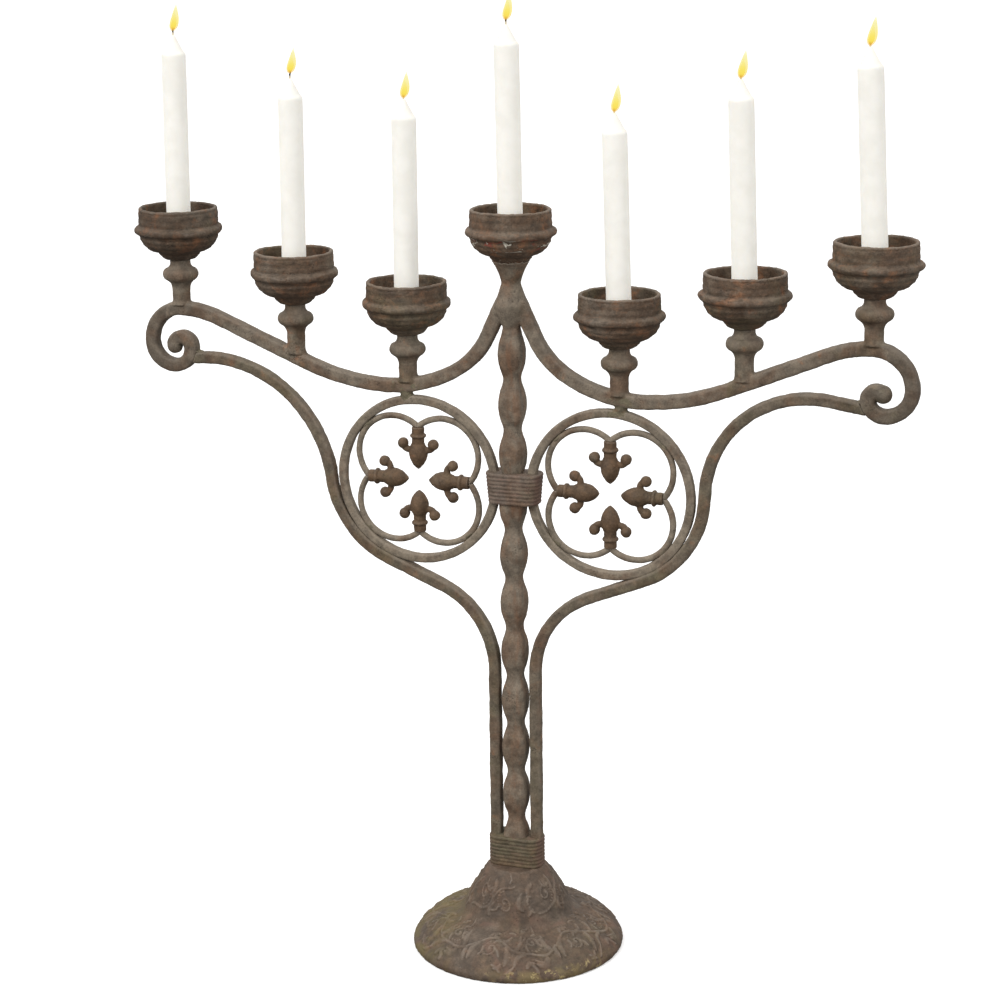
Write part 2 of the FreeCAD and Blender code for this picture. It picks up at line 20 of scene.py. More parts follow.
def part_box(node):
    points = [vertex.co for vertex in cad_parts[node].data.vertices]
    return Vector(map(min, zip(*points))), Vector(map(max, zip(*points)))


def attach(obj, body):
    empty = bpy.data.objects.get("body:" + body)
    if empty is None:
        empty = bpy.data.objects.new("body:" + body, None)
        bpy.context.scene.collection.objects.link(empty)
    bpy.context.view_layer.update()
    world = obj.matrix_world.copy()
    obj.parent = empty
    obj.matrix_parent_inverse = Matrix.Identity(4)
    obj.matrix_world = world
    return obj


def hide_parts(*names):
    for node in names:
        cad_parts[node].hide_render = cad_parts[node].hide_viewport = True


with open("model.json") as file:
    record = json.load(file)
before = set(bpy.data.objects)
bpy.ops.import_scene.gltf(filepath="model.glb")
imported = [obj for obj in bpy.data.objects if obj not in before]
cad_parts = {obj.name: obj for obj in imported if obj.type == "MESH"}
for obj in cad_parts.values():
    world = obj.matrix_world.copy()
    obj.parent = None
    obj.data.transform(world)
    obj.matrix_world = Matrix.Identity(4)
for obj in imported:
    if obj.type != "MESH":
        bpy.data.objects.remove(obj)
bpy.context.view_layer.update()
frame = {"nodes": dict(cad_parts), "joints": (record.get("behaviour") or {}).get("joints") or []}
mm = 0.001
iron_body = "frame"

# %% [markdown]
# ## The camera
#
# A long lens from 2.3 m away keeps the bars almost parallel. The camera stands
# 20 degrees to the right of the front and looks down by 15 degrees, so that the
# cups and the foot show as ellipses. It was held a little crooked, so it rolls
# by less than a degree. The camera comes first, because every later step is
# judged through it.

# %% Place the camera
camera_place = Vector((0.7645, -2.1011, 1.0285))
camera_target = Vector((-0.0129, 0.0, 0.4261))
camera_roll = math.radians(-0.71)

ahead = (camera_target - camera_place).normalized()
level = ahead.cross(Vector((0, 0, 1))).normalized()
upward = level.cross(ahead)
side = level * math.cos(camera_roll) + upward * math.sin(camera_roll)
upright = side.cross(ahead)

lens = bpy.data.cameras.new("camera")
lens.lens = 93.0
lens.sensor_width = 36.0
camera = bpy.data.objects.new("camera", lens)
turn = Matrix((side, upright, -ahead)).transposed()
camera.matrix_world = Matrix.Translation(camera_place) @ turn.to_4x4()
bpy.context.scene.collection.objects.link(camera)
bpy.context.scene.camera = camera
print("camera looks from", [round(v, 3) for v in camera.location])

# %% [markdown]
# ## Colours
#
# Paint charts give colours as they look on a screen, from 0 to 255. Blender
# calculates with linear light, so each one goes through the same curve.

# %% Named colours
def screen(red, green, blue):
    """A colour as a screen shows it, turned into linear light."""
    shares = [value / 255 for value in (red, green, blue)]
    return [s / 12.92 if s <= 0.04045 else ((s + 0.055) / 1.055) ** 2.4 for s in shares] + [1.0]


iron_grey = screen(119, 108, 94)
brown_rust = screen(103, 80, 62)
orange_rust = screen(136, 92, 62)
red_rust = screen(128, 66, 52)
olive_film = screen(94, 90, 64)
crevice_dark = screen(38, 31, 25)
dust_pale = screen(150, 138, 123)
# Pale bare iron on rubbed edges, also used as the painted highlight on the foot's relief.
rubbed_bare_and_highlight = screen(142, 131, 119)
print("iron grey in linear light:", [round(v, 3) for v in iron_grey[:3]])

# %% [markdown]
# ## Helpers for shader nodes
#
# A material is a small network. These helpers add one node with its settings
# and links in one line, so that a recipe reads from top to bottom.

# %% Add one node
def add(tree, kind, inputs=None, **settings):
    """Adds a node. A socket as an input's value is linked, anything else is set."""
    node = tree.nodes.new(kind)
    for name, value in settings.items():
        setattr(node, name, value)
    for key, value in (inputs or {}).items():
        if isinstance(value, bpy.types.NodeSocket):
            tree.links.new(value, node.inputs[key])
        else:
            node.inputs[key].default_value = value
    return node


def calc(tree, operation, first, second=0.0, clamp=False):
    """One sum on two values."""
    node = add(tree, "ShaderNodeMath", {0: first, 1: second}, operation=operation, use_clamp=clamp)
    return node.outputs[0]


def ramp(tree, value, low, high, to_low=0.0, to_high=1.0):
    """Smooth step of a value between two limits."""
    inputs = {"Value": value, "From Min": low, "From Max": high, "To Min": to_low, "To Max": to_high}
    return add(tree, "ShaderNodeMapRange", inputs, interpolation_type="SMOOTHSTEP").outputs[0]


def paint(tree, mask, under, over):
    """One colour laid over another where the mask is 1."""
    node = add(tree, "ShaderNodeMix", {0: mask, 6: under, 7: over}, data_type="RGBA")
    return node.outputs[2]


def noise(tree, place, size, detail=3.0, rough=0.55, twist=0.0):
    """Cloudy noise whose lumps are about that size."""
    scale = size if isinstance(size, bpy.types.NodeSocket) else 1.0 / size
    if isinstance(size, bpy.types.NodeSocket):
        scale = calc(tree, "DIVIDE", 1.0, size)
    inputs = {"Vector": place, "Scale": scale, "Detail": detail, "Roughness": rough, "Distortion": twist}
    return add(tree, "ShaderNodeTexNoise", inputs).outputs["Fac"]


def new_group(name, takes, gives):
    """An empty node group with named sockets."""
    group = bpy.data.node_groups.new(name, "ShaderNodeTree")
    for label, kind, value in takes:
        socket = group.interface.new_socket(label, in_out="INPUT", socket_type="NodeSocket" + kind)
        if value is not None:
            socket.default_value = value
    for label, kind in gives:
        group.interface.new_socket(label, in_out="OUTPUT", socket_type="NodeSocket" + kind)
    return group, group.nodes.new("NodeGroupInput").outputs, group.nodes.new("NodeGroupOutput").inputs


def use(tree, group, inputs):
    """Places a group in a tree."""
    node = add(tree, "ShaderNodeGroup", node_tree=group)
    for key, value in inputs.items():
        if isinstance(value, bpy.types.NodeSocket):
            tree.links.new(value, node.inputs[key])
        else:
            node.inputs[key].default_value = value
    return node.outputs


print("helpers ready")

# %% [markdown]
# ## Effect: patches
#
# Patina is never even. It lies in soft islands, some as wide as a hand and some
# as small as a seed. This group makes a mask of such islands, and every iron
# finish uses it several times with its own size and cover.

# %% Group: patches
patches, given, out = new_group(
    "patches",
    [("Vector", "Vector", None), ("Size", "Float", 0.03), ("Cover", "Float", 0.5), ("Blur", "Float", 0.12)],
    [("Mask", "Float")])
lumps = noise(patches, given["Vector"], given["Size"], 5.0, 0.6, 0.5)
middle = ramp(patches, given["Cover"], 0.0, 1.0, 0.75, 0.25)
low = calc(patches, "SUBTRACT", middle, given["Blur"])
high = calc(patches, "ADD", middle, given["Blur"])
patches.links.new(ramp(patches, lumps, low, high), out["Mask"])
print("patches:", len(patches.nodes), "nodes")

# %% [markdown]
# ## Effect: pits
#
# Rust eats small round holes in the iron. A Voronoi texture scatters points, and
# each is a pit where a second, larger noise allows it, so they gather in places.

# %% Group: pits
pits, given, out = new_group(
    "pits",
    [("Vector", "Vector", None), ("Size", "Float", 0.002), ("Cover", "Float", 0.5)],
    [("Mask", "Float"), ("Height", "Float")])
cell = add(pits, "ShaderNodeTexVoronoi",
           {"Vector": given["Vector"], "Scale": calc(pits, "DIVIDE", 1.0, given["Size"])})
where = noise(pits, given["Vector"], calc(pits, "MULTIPLY", given["Size"], 7.0), 2.0)
radius = calc(pits, "MULTIPLY", ramp(pits, where, 0.35, 0.75), given["Cover"])
depth = calc(pits, "SUBTRACT", radius, cell.outputs["Distance"])
hole = ramp(pits, depth, 0.0, 0.3)
pits.links.new(hole, out["Mask"])
pits.links.new(calc(pits, "MULTIPLY", hole, -1.0), out["Height"])
print("pits:", len(pits.nodes), "nodes")

# %% [markdown]
# ## Effect: edges and hollows
#
# Hands and cloths rub the corners bare, and grime stays in the hollows. Cycles
# knows how pointed a mesh is at each vertex, and 0.5 means flat. The pieces
# below have a fine, even skin, which this effect needs.

# %% Group: edges and hollows
edges_hollows, given, out = new_group(
    "edges_hollows",
    [("Spread", "Float", 0.08)],
    [("Edge", "Float"), ("Hollow", "Float")])
pointed = add(edges_hollows, "ShaderNodeNewGeometry").outputs["Pointiness"]
above = calc(edges_hollows, "ADD", given["Spread"], 0.5)
below = calc(edges_hollows, "SUBTRACT", 0.5, given["Spread"])
edges_hollows.links.new(ramp(edges_hollows, pointed, 0.505, above), out["Edge"])
edges_hollows.links.new(ramp(edges_hollows, pointed, 0.495, below), out["Hollow"])
print("edges and hollows:", len(edges_hollows.nodes), "nodes")

# %% [markdown]
# ## Effect: settled dust
#
# Dust lies on what faces up. The world normal's Z says how much a face looks
# at the sky, and a noise breaks the film up.

# %% Group: settled dust
settled_dust, given, out = new_group(
    "settled_dust",
    [("Vector", "Vector", None), ("Amount", "Float", 0.5)],
    [("Mask", "Float")])
facing = add(settled_dust, "ShaderNodeSeparateXYZ",
             {0: add(settled_dust, "ShaderNodeNewGeometry").outputs["Normal"]}).outputs["Z"]
film = ramp(settled_dust, facing, 0.05, 1.0)
broken = ramp(settled_dust, noise(settled_dust, given["Vector"], 0.009, 5.0, 0.65), 0.3, 0.7, 0.35, 1.0)
lying = calc(settled_dust, "MULTIPLY", calc(settled_dust, "MULTIPLY", film, broken), given["Amount"])
settled_dust.links.new(lying, out["Mask"])
print("settled dust:", len(settled_dust.nodes), "nodes")

# %% [markdown]
# ## Effect: the iron's whole skin
#
# All the iron came out of one bath of patina, so one group mixes it: grey iron
# under brown rust, orange rust in smaller islands, an olive film, darkened
# hollows, paler rubbed edges and dust on top. It gives a colour, a roughness and
# a height. Each material sets its own shares and keeps its own shader.

# %% Group: iron skin
iron_skin, given, out = new_group(
    "iron_skin",
    [("Vector", "Vector", None), ("Ground", "Color", iron_grey), ("Rust", "Color", brown_rust),
     ("Bright rust", "Color", orange_rust), ("Rust cover", "Float", 0.45), ("Bright cover", "Float", 0.2),
     ("Olive cover", "Float", 0.25), ("Grime", "Float", 0.8), ("Rubbed", "Float", 0.5),
     ("Dust", "Float", 0.4), ("Pit size", "Float", 0.0022)],
    [("Color", "Color"), ("Roughness", "Float"), ("Height", "Float")])
place = given["Vector"]
rust = use(iron_skin, patches, {"Vector": place, "Size": 0.035, "Cover": given["Rust cover"]})["Mask"]
bright = use(iron_skin, patches,
             {"Vector": place, "Size": 0.016, "Cover": given["Bright cover"], "Blur": 0.1})["Mask"]
olive = use(iron_skin, patches,
            {"Vector": place, "Size": 0.05, "Cover": given["Olive cover"], "Blur": 0.15})["Mask"]
speck = noise(iron_skin, place, 0.0016, 4.0, 0.7)
shade = noise(iron_skin, place, 0.008, 4.0, 0.6)
hole = use(iron_skin, pits, {"Vector": place, "Size": given["Pit size"], "Cover": 0.5})
shape = use(iron_skin, edges_hollows, {"Spread": 0.07})
dust = use(iron_skin, settled_dust, {"Vector": place, "Amount": given["Dust"]})["Mask"]

colour = paint(iron_skin, calc(iron_skin, "MULTIPLY", rust, 0.8), given["Ground"], given["Rust"])
colour = paint(iron_skin, calc(iron_skin, "MULTIPLY", olive, 0.5), colour, olive_film)
colour = paint(iron_skin, calc(iron_skin, "MULTIPLY", bright, 0.65), colour, given["Bright rust"])
tone = ramp(iron_skin, shade, 0.25, 0.75, 0.66, 1.3)
fleck = ramp(iron_skin, speck, 0.3, 0.7, 0.82, 1.18)
tint = add(iron_skin, "ShaderNodeVectorMath", {0: colour, 3: calc(iron_skin, "MULTIPLY", tone, fleck)},
           operation="SCALE").outputs[0]
colour = paint(iron_skin, calc(iron_skin, "MULTIPLY", shape["Edge"], given["Rubbed"]), tint, rubbed_bare_and_highlight)
colour = paint(iron_skin, dust, colour, dust_pale)
colour = paint(iron_skin, calc(iron_skin, "MULTIPLY", shape["Hollow"], given["Grime"]), colour, crevice_dark)
colour = paint(iron_skin, calc(iron_skin, "MULTIPLY", hole["Mask"], 0.3), colour, crevice_dark)
iron_skin.links.new(colour, out["Color"])

rubbed = calc(iron_skin, "MULTIPLY", shape["Edge"], -0.2)
iron_skin.links.new(
    calc(iron_skin, "ADD", ramp(iron_skin, shade, 0.2, 0.8, 0.62, 0.84), rubbed), out["Roughness"])
flakes = calc(iron_skin, "MULTIPLY", noise(iron_skin, place, 0.0045, 5.0, 0.65), 0.9)
grain = calc(iron_skin, "MULTIPLY", speck, 0.35)
crust = calc(iron_skin, "MULTIPLY", rust, 0.25)
relief = calc(iron_skin, "ADD", calc(iron_skin, "ADD", flakes, grain), crust)
iron_skin.links.new(calc(iron_skin, "ADD", relief, hole["Height"]), out["Height"])
print("iron skin:", len(iron_skin.nodes), "nodes")

# %% [markdown]
# ## The iron finishes
#
# One recipe makes all the finishes: the forged bars are rubbed and greyer, the
# stem's lobes carry orange rust, the cups are darker and rustier, the little
# fleurs are brown, and the foot is grimy. Each has its own shares and its own
# shader, and may paint something more over the colour.

# %% Make an iron finish
def iron(name, bump=0.35, extra=None, **shares):
    """A material of patinated iron. extra paints on the colour before the shader."""
    material = bpy.data.materials.new(name)
    material.use_nodes = True
    tree = material.node_tree
    tree.nodes.clear()
    place = add(tree, "ShaderNodeTexCoord").outputs["Object"]
    inputs = {key.replace("_", " ").capitalize(): value for key, value in shares.items()}
    skin = use(tree, iron_skin, {"Vector": place, **inputs})
    colour, height = skin["Color"], skin["Height"]
    if extra:
        colour, height = extra(tree, place, colour, height)
    relief = {"Height": height, "Distance": bump * mm, "Strength": 0.8}
    normal = add(tree, "ShaderNodeBump", relief).outputs[0]
    shader = add(tree, "ShaderNodeBsdfPrincipled", {
        "Base Color": colour, "Roughness": skin["Roughness"], "Normal": normal,
        "Metallic": 0.12, "Specular IOR Level": 0.35})
    tree.links.new(shader.outputs[0], add(tree, "ShaderNodeOutputMaterial").inputs[0])
    return material


print("iron recipe ready")

# %% [markdown]
# ## The bars' finishes
#
# Arms, braces and rings differ a little in their ground colour. The scrolls at
# both ends of the arms are darker.

# %% The bars, the welds and the fleurs
def darker_arm_ends(tree, place, colour, height):
    """The scrolls at the arms' ends are darker."""
    x = add(tree, "ShaderNodeSeparateXYZ", {0: place}).outputs["X"]
    end_darkening = ramp(tree, calc(tree, "ABSOLUTE", x), 0.27, 0.34, 0.0, 0.3)
    return paint(tree, end_darkening, colour, crevice_dark), height


bar_finish = iron("forged_bar", extra=darker_arm_ends, Rust_cover=0.45, Bright_cover=0.2, Dust=0.4,
                  Rubbed=0.5)
brace_finish = iron("forged_brace", extra=darker_arm_ends, Ground=screen(108, 97, 83), Olive_cover=0.42,
                    Rust_cover=0.45, Bright_cover=0.2, Dust=0.35, Rubbed=0.5)
ring_finish = iron("forged_ring", Ground=screen(128, 117, 102), Rust_cover=0.38, Bright_cover=0.16, Dust=0.45,
                   Rubbed=0.6)
weld_finish = iron("weld_iron", Rust_cover=0.3, Olive_cover=0.6, Grime=0.9, Dust=0.2, Rubbed=0.25)
fleur_finish = iron("cast_fleur", bump=0.3, Ground=screen(102, 88, 72), Rust=screen(94, 72, 52),
                    Rust_cover=0.7, Bright_cover=0.2, Dust=0.1, Rubbed=0.3, Pit_size=0.0015)
bar_finishes = {"arm": bar_finish, "brace": brace_finish, "ring": ring_finish}
print("bar, weld and fleur finishes ready")

# %% [markdown]
# ## The stem's finish
#
# On the stem the rust has run down in streaks. A noise stretched along Z gives
# such runs.

# %% The stem's rust runs
def rust_runs(tree, place, colour, height):
    """Orange streaks, long in Z and narrow across."""
    stretched = add(tree, "ShaderNodeVectorMath", {0: place, 1: (1.0, 1.0, 0.16)}, operation="MULTIPLY")
    streak = ramp(tree, noise(tree, stretched.outputs[0], 0.007, 3.0), 0.5, 0.68)
    return paint(tree, calc(tree, "MULTIPLY", streak, 0.26), colour, orange_rust), height


stem_finish = iron("stem_bar", extra=rust_runs, Rust_cover=0.48, Bright_cover=0.16, Dust=0.35, Rubbed=0.45)
print("stem finish ready")

# %% [markdown]
# ## The cups' finish
#
# The cups were cast and turned, so faint rings run round them, and the rust
# follows the rings: the pattern changes fast in Z and slowly round the cup. The
# cups get darker towards the left-hand end.

# %% The cups' rings of rust
def turned_rings(tree, place, colour, height):
    """Thin level bands of darker and brighter rust, and darker towards the left."""
    squashed = add(tree, "ShaderNodeVectorMath", {0: place, 1: (0.2, 0.2, 1.0)}, operation="MULTIPLY")
    band = noise(tree, squashed.outputs[0], 0.0028, 4.0, 0.7, 0.9)
    colour = paint(tree, ramp(tree, band, 0.54, 0.7, 0.0, 0.26), colour, orange_rust)
    colour = paint(tree, ramp(tree, band, 0.48, 0.34, 0.0, 0.38), colour, crevice_dark)
    left_darkening = ramp(tree, add(tree, "ShaderNodeSeparateXYZ", {0: place}).outputs["X"], -0.22, -0.34, 0.0, 0.3)
    colour = paint(tree, left_darkening, colour, crevice_dark)
    return colour, calc(tree, "ADD", height, calc(tree, "MULTIPLY", band, 0.3))


cup_grey = screen(105, 93, 80)
cup_finish = iron("cast_cup", bump=0.4, extra=turned_rings, Ground=cup_grey, Rust=screen(90, 70, 54),
                  Rust_cover=0.58, Bright_cover=0.34, Olive_cover=0.34, Dust=0.2, Rubbed=0.6)
neck_finish = iron("cast_neck", Rust_cover=0.5, Bright_cover=0.22, Olive_cover=0.4, Dust=0.3, Rubbed=0.45)
print("cup and neck finishes ready")

# %% [markdown]
# ## The centre cup's chips
#
# The centre cup has been knocked: under its bead some flakes have gone down to a
# whitish old ground, with red spots beside them. The flakes lie in a band just
# below the bead, so the mask is a noise inside two limits of height.

# %% The centre cup's chips
rim_above_bead = 20.3 * mm
centre_bead_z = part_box("cup_4")[1].z - rim_above_bead
chip_white = screen(196, 190, 176)


def band_of_height(tree, place, low, high, soft):
    """1 between two heights."""
    z = add(tree, "ShaderNodeSeparateXYZ", {0: place}).outputs["Z"]
    up = ramp(tree, z, low - soft, low)
    down = ramp(tree, z, high, high + soft, 1.0, 0.0)
    return calc(tree, "MULTIPLY", up, down)


def knocked_rings(tree, place, colour, height):
    """The turned rings, with red spots and whitish flakes in the band."""
    colour, height = turned_rings(tree, place, colour, height)
    zone = band_of_height(tree, place, centre_bead_z - 12 * mm, centre_bead_z - 3.5 * mm, 2 * mm)
    squashed = add(tree, "ShaderNodeVectorMath", {0: place, 1: (0.6, 0.6, 1.6)}, operation="MULTIPLY")
    flat = squashed.outputs[0]
    red = calc(tree, "MULTIPLY", ramp(tree, noise(tree, flat, 0.012, 2.0), 0.56, 0.62, 0.0, 0.8), zone)
    colour = paint(tree, red, colour, red_rust)
    flake = ramp(tree, noise(tree, flat, 0.0085, 3.0, 0.6, 0.8), 0.58, 0.61)
    flake = calc(tree, "MULTIPLY", flake, zone)
    colour = paint(tree, calc(tree, "MULTIPLY", flake, 0.9), colour, chip_white)
    return colour, calc(tree, "SUBTRACT", height, flake)


centre_cup_finish = iron("cast_cup_chipped", bump=0.4, extra=knocked_rings, Ground=cup_grey,
                         Rust=screen(92, 71, 54), Rust_cover=0.58, Bright_cover=0.36, Olive_cover=0.34,
                         Dust=0.2, Rubbed=0.55)
print("bead of the centre cup at", round(centre_bead_z / mm, 1), "mm")

# %% [markdown]
# ## The foot's finish
#
# The foot's relief holds dark grime in its ground and has a painted highlight on
# its heights, which a value stored at each vertex tells apart. Soft dark and reddish
# clouds drift over it, there is an olive bloom on one side, and along the rim at
# the front the old ground shows through, yellowed and with cream chips.

# %% The foot's bloom and chips
cream_ground = screen(176, 158, 112)
moss_bloom = screen(112, 102, 62)


def foot_wear(tree, place, colour, height):
    """Grime round the relief, a painted highlight on its heights, soft clouds, a bloom on the left, chips on
    the front rim.
    """
    parts = add(tree, "ShaderNodeSeparateXYZ", {0: place}).outputs
    ornament = add(tree, "ShaderNodeAttribute", attribute_name="ornament").outputs["Fac"]
    dirt = ramp(tree, noise(tree, place, 0.011, 5.0, 0.65), 0.3, 0.66)
    ground = calc(tree, "MULTIPLY", ramp(tree, ornament, 0.0, 0.4, 0.42, 0.0), dirt)
    colour = paint(tree, ground, colour, screen(60, 50, 42))
    # A painted highlight on the relief's heights, weaker where the dark noise is.
    heights = ramp(tree, ornament, 0.5, 1.0, 0.0, 0.22)
    painted_ridge_highlight = calc(tree, "MULTIPLY", heights, ramp(tree, dirt, 0.2, 1.0, 1.0, 0.2))
    colour = paint(tree, painted_ridge_highlight, colour, rubbed_bare_and_highlight)
    cloud = noise(tree, place, 0.026, 3.0, 0.55, 1.2)
    colour = paint(tree, ramp(tree, cloud, 0.5, 0.36, 0.0, 0.42), colour, screen(66, 57, 49))
    colour = paint(tree, ramp(tree, cloud, 0.55, 0.72, 0.0, 0.3), colour, screen(126, 94, 80))
    left = ramp(tree, parts["X"], -0.02, -0.07)
    bloom = use(tree, patches, {"Vector": place, "Size": 0.028, "Cover": 0.52})["Mask"]
    colour = paint(tree, calc(tree, "MULTIPLY", calc(tree, "MULTIPLY", bloom, left), 0.6), colour, moss_bloom)
    rim = band_of_height(tree, place, 0.5 * mm, 9 * mm, 4 * mm)
    right = ramp(tree, parts["X"], -0.02, 0.05)
    front = calc(tree, "MULTIPLY", ramp(tree, parts["Y"], 0.0, -0.06), right)
    worn = noise(tree, place, 0.014, 5.0, 0.6, 0.4)
    yellowed = calc(tree, "MULTIPLY", calc(tree, "MULTIPLY", ramp(tree, worn, 0.44, 0.6), rim), front)
    colour = paint(tree, calc(tree, "MULTIPLY", yellowed, 0.5), colour, screen(134, 118, 78))
    chip = ramp(tree, noise(tree, place, 0.008, 5.0, 0.7, 0.4), 0.57, 0.61)
    chip = calc(tree, "MULTIPLY", calc(tree, "MULTIPLY", chip, rim), front)
    colour = paint(tree, calc(tree, "MULTIPLY", chip, 0.75), colour, cream_ground)
    return colour, calc(tree, "SUBTRACT", height, calc(tree, "MULTIPLY", chip, 0.5))


foot_finish = iron("cast_foot", bump=0.45, extra=foot_wear, Ground=screen(102, 89, 77),
                   Rust=screen(98, 77, 61), Rust_cover=0.52, Bright_cover=0.2, Dust=0.14, Grime=0.9,
                   Rubbed=0.35, Pit_size=0.0026)
print("foot finish ready")

# %% [markdown]
# ## The collars' finish
#
# The collars look like wrapped strip: pinkish or olive on the turns and dark
# between them, and redder on the two narrow sides. The grooves are in the mesh,
# so the hollows find themselves, and level streaks give the strip's drawn grain.

# %% The collars' finish
def drawn_strip(tree, place, colour, height):
    """Fine level streaks of pinkish rust, and redder sides."""
    squashed = add(tree, "ShaderNodeVectorMath", {0: place, 1: (0.1, 0.1, 1.0)}, operation="MULTIPLY")
    streak = noise(tree, squashed.outputs[0], 0.0014, 3.0, 0.65)
    colour = paint(tree, ramp(tree, streak, 0.5, 0.64, 0.0, 0.4), colour, screen(132, 104, 92))
    normal = add(tree, "ShaderNodeNewGeometry").outputs["Normal"]
    sideways = calc(tree, "ABSOLUTE", add(tree, "ShaderNodeSeparateXYZ", {0: normal}).outputs["X"])
    colour = paint(tree, ramp(tree, sideways, 0.55, 0.9, 0.0, 0.55), colour, screen(104, 78, 70))
    return colour, calc(tree, "ADD", height, streak)


collar_finishes = {
    "base_collar": iron("collar_strip_olive", bump=0.3, extra=drawn_strip, Ground=screen(92, 83, 70),
                        Rust_cover=0.5, Olive_cover=0.55, Bright_cover=0.2, Grime=0.45, Dust=0.05,
                        Rubbed=0.2),
    "middle_collar": iron("collar_strip", bump=0.3, extra=drawn_strip, Ground=screen(108, 95, 84),
                          Rust_cover=0.45, Olive_cover=0.2, Grime=0.8, Dust=0.1, Rubbed=0.3),
}
steel_finish = iron("hidden_fixings", bump=0.15, Ground=screen(120, 116, 110), Rust_cover=0.3,
                    Bright_cover=0.1, Grime=0.5, Dust=0.0, Rubbed=0.5)
print("collar and fixings finishes ready")

# %% [markdown]
# ## An even skin for a CAD piece
#
# A CAD solid comes as long thin triangles, which can't be dented. The voxel
# remesh wraps the same shape in small even faces, and a little smoothing rounds
# its corners as forging or casting does. The CAD node itself is never changed:
# a new piece takes its place, at the same spot.

# %% Wrap a node in an even skin
def even_skin(node, name, grain, soften=2):
    """A new object with the node's shape and faces of about that size."""
    mesh = frame["nodes"][node].data.copy()
    mesh.name = name
    mesh.materials.clear()
    tidy = bmesh.new()
    tidy.from_mesh(mesh)
    bmesh.ops.remove_doubles(tidy, verts=tidy.verts, dist=0.002 * mm)
    tidy.to_mesh(mesh)
    tidy.free()
    piece = bpy.data.objects.new(name, mesh)
    bpy.context.scene.collection.objects.link(piece)
    wrap = piece.modifiers.new("even skin", "REMESH")
    wrap.mode = "VOXEL"
    wrap.voxel_size = grain
    if soften:
        rounding = piece.modifiers.new("rounding", "SMOOTH")
        rounding.factor = 0.5
        rounding.iterations = soften
    return piece


def settle(piece):
    """Turns a piece's modifiers into its final mesh."""
    bpy.context.view_layer.update()
    shaped = piece.evaluated_get(bpy.context.evaluated_depsgraph_get())
    mesh = bpy.data.meshes.new_from_object(shaped)
    mesh.name = piece.name
    piece.modifiers.clear()
    piece.data = mesh
    mesh.shade_smooth()
    return piece


def finish_piece(piece, material, body, nodes):
    """Gives a piece its finish, its body and the nodes it stands for."""
    piece.data.materials.clear()
    piece.data.materials.append(material)
    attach(piece, body)
    if nodes:
        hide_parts(*nodes)
    return piece


def points_of(mesh):
    """A mesh's vertices as an array."""
    values = np.empty(len(mesh.vertices) * 3)
    mesh.vertices.foreach_get("co", values)
    return values.reshape(-1, 3)


def normals_of(mesh):
    """A mesh's vertex normals as an array."""
    values = np.empty(len(mesh.vertices) * 3)
    mesh.vertex_normals.foreach_get("vector", values)
    return values.reshape(-1, 3)


def move_points(mesh, points):
    mesh.vertices.foreach_set("co", points.ravel())
    mesh.update()


print("skin helpers ready")

# %% [markdown]
# ## Hammer marks
#
# A smith's hammer leaves shallow, overlapping dents, and the bar swells and
# thins a little between heats. Three Displace modifiers do that: broad clouds
# for the swelling, Voronoi cells for the dents and fine clouds for the scale.

# %% Textures for the dents
def marks(name, kind, size, **settings):
    """A texture that a Displace modifier can push a skin with."""
    texture = bpy.data.textures.new(name, kind)
    texture.noise_scale = size
    for key, value in settings.items():
        setattr(texture, key, value)
    return texture


swelling = marks("swelling", "CLOUDS", 26 * mm, noise_depth=1)
dents = marks("dents", "VORONOI", 7.5 * mm, noise_intensity=1.0)
scale_crust = marks("scale_crust", "CLOUDS", 2.6 * mm, noise_depth=2)
sand_lumps = marks("sand_lumps", "CLOUDS", 5.5 * mm, noise_depth=2)


def push(piece, texture, depth):
    """Moves the skin in and out by up to half the depth each way."""
    mark = piece.modifiers.new(texture.name, "DISPLACE")
    mark.texture = texture
    mark.texture_coords = "LOCAL"
    mark.strength = depth
    mark.mid_level = 0.5
    return piece


def forged(piece, share=1.0):
    push(piece, swelling, 1.0 * mm * share)
    push(piece, dents, 0.5 * mm * share)
    return push(piece, scale_crust, 0.3 * mm)


def cast(piece, share=1.0):
    push(piece, sand_lumps, 0.7 * mm * share)
    return push(piece, scale_crust, 0.35 * mm)


print("dents are", dents.noise_scale / mm, "mm apart")

# %% [markdown]
# ## The bars
#
# The two arms, the two braces and the two rings are forged bar. Each keeps its
# own piece, so that it can be swapped or repainted alone.

# %% The arms, braces and rings
for hand in ("left", "right"):
    for bar in ("arm", "brace", "ring"):
        node = f"{bar}_{hand}"
        share = 0.6 if bar == "ring" else 1.0
        grain = 0.85 * mm if bar == "ring" else 1.05 * mm
        piece = settle(forged(even_skin(node, node + "_forged", grain), share))
        finish_piece(piece, bar_finishes[bar], iron_body, [node])
        print(node, len(piece.data.vertices), "points")

# %% [markdown]
# ## The quatrefoils
#
# Each ring holds four thin rods, bent into lobes. They are too thin for deep
# dents, so they only get the crust and a third of the swelling.

# %% The lobes
for hand in ("left", "right"):
    for quarter in range(1, 5):
        node = f"foil_{hand}_{quarter}"
        piece = settle(forged(even_skin(node, node + "_forged", 0.7 * mm, 1), 0.4))
        finish_piece(piece, ring_finish, iron_body, [node])
print("8 lobes forged")

# %% [markdown]
# ## The stem
#
# A square bar, swaged into lobes. It is hammered all over.

# %% The stem
stem = settle(forged(even_skin("stem", "stem_forged", 0.9 * mm, 3), 0.8))
finish_piece(stem, stem_finish, iron_body, ["stem"])
print("stem", len(stem.data.vertices), "points")

# %% [markdown]
# ## The collars
#
# The grooved bands that bind stem, braces and rings need a finer skin, because
# their grooves are narrow. They get no dents, only the crust.

# %% The collars
for node in ("base_collar", "middle_collar"):
    piece = push(even_skin(node, node + "_bound", 0.5 * mm, 1), scale_crust, 0.3 * mm)
    push(piece, sand_lumps, 0.45 * mm)
    settle(piece)
    finish_piece(piece, collar_finishes[node], iron_body, [node])
    print(node, len(piece.data.vertices), "points")

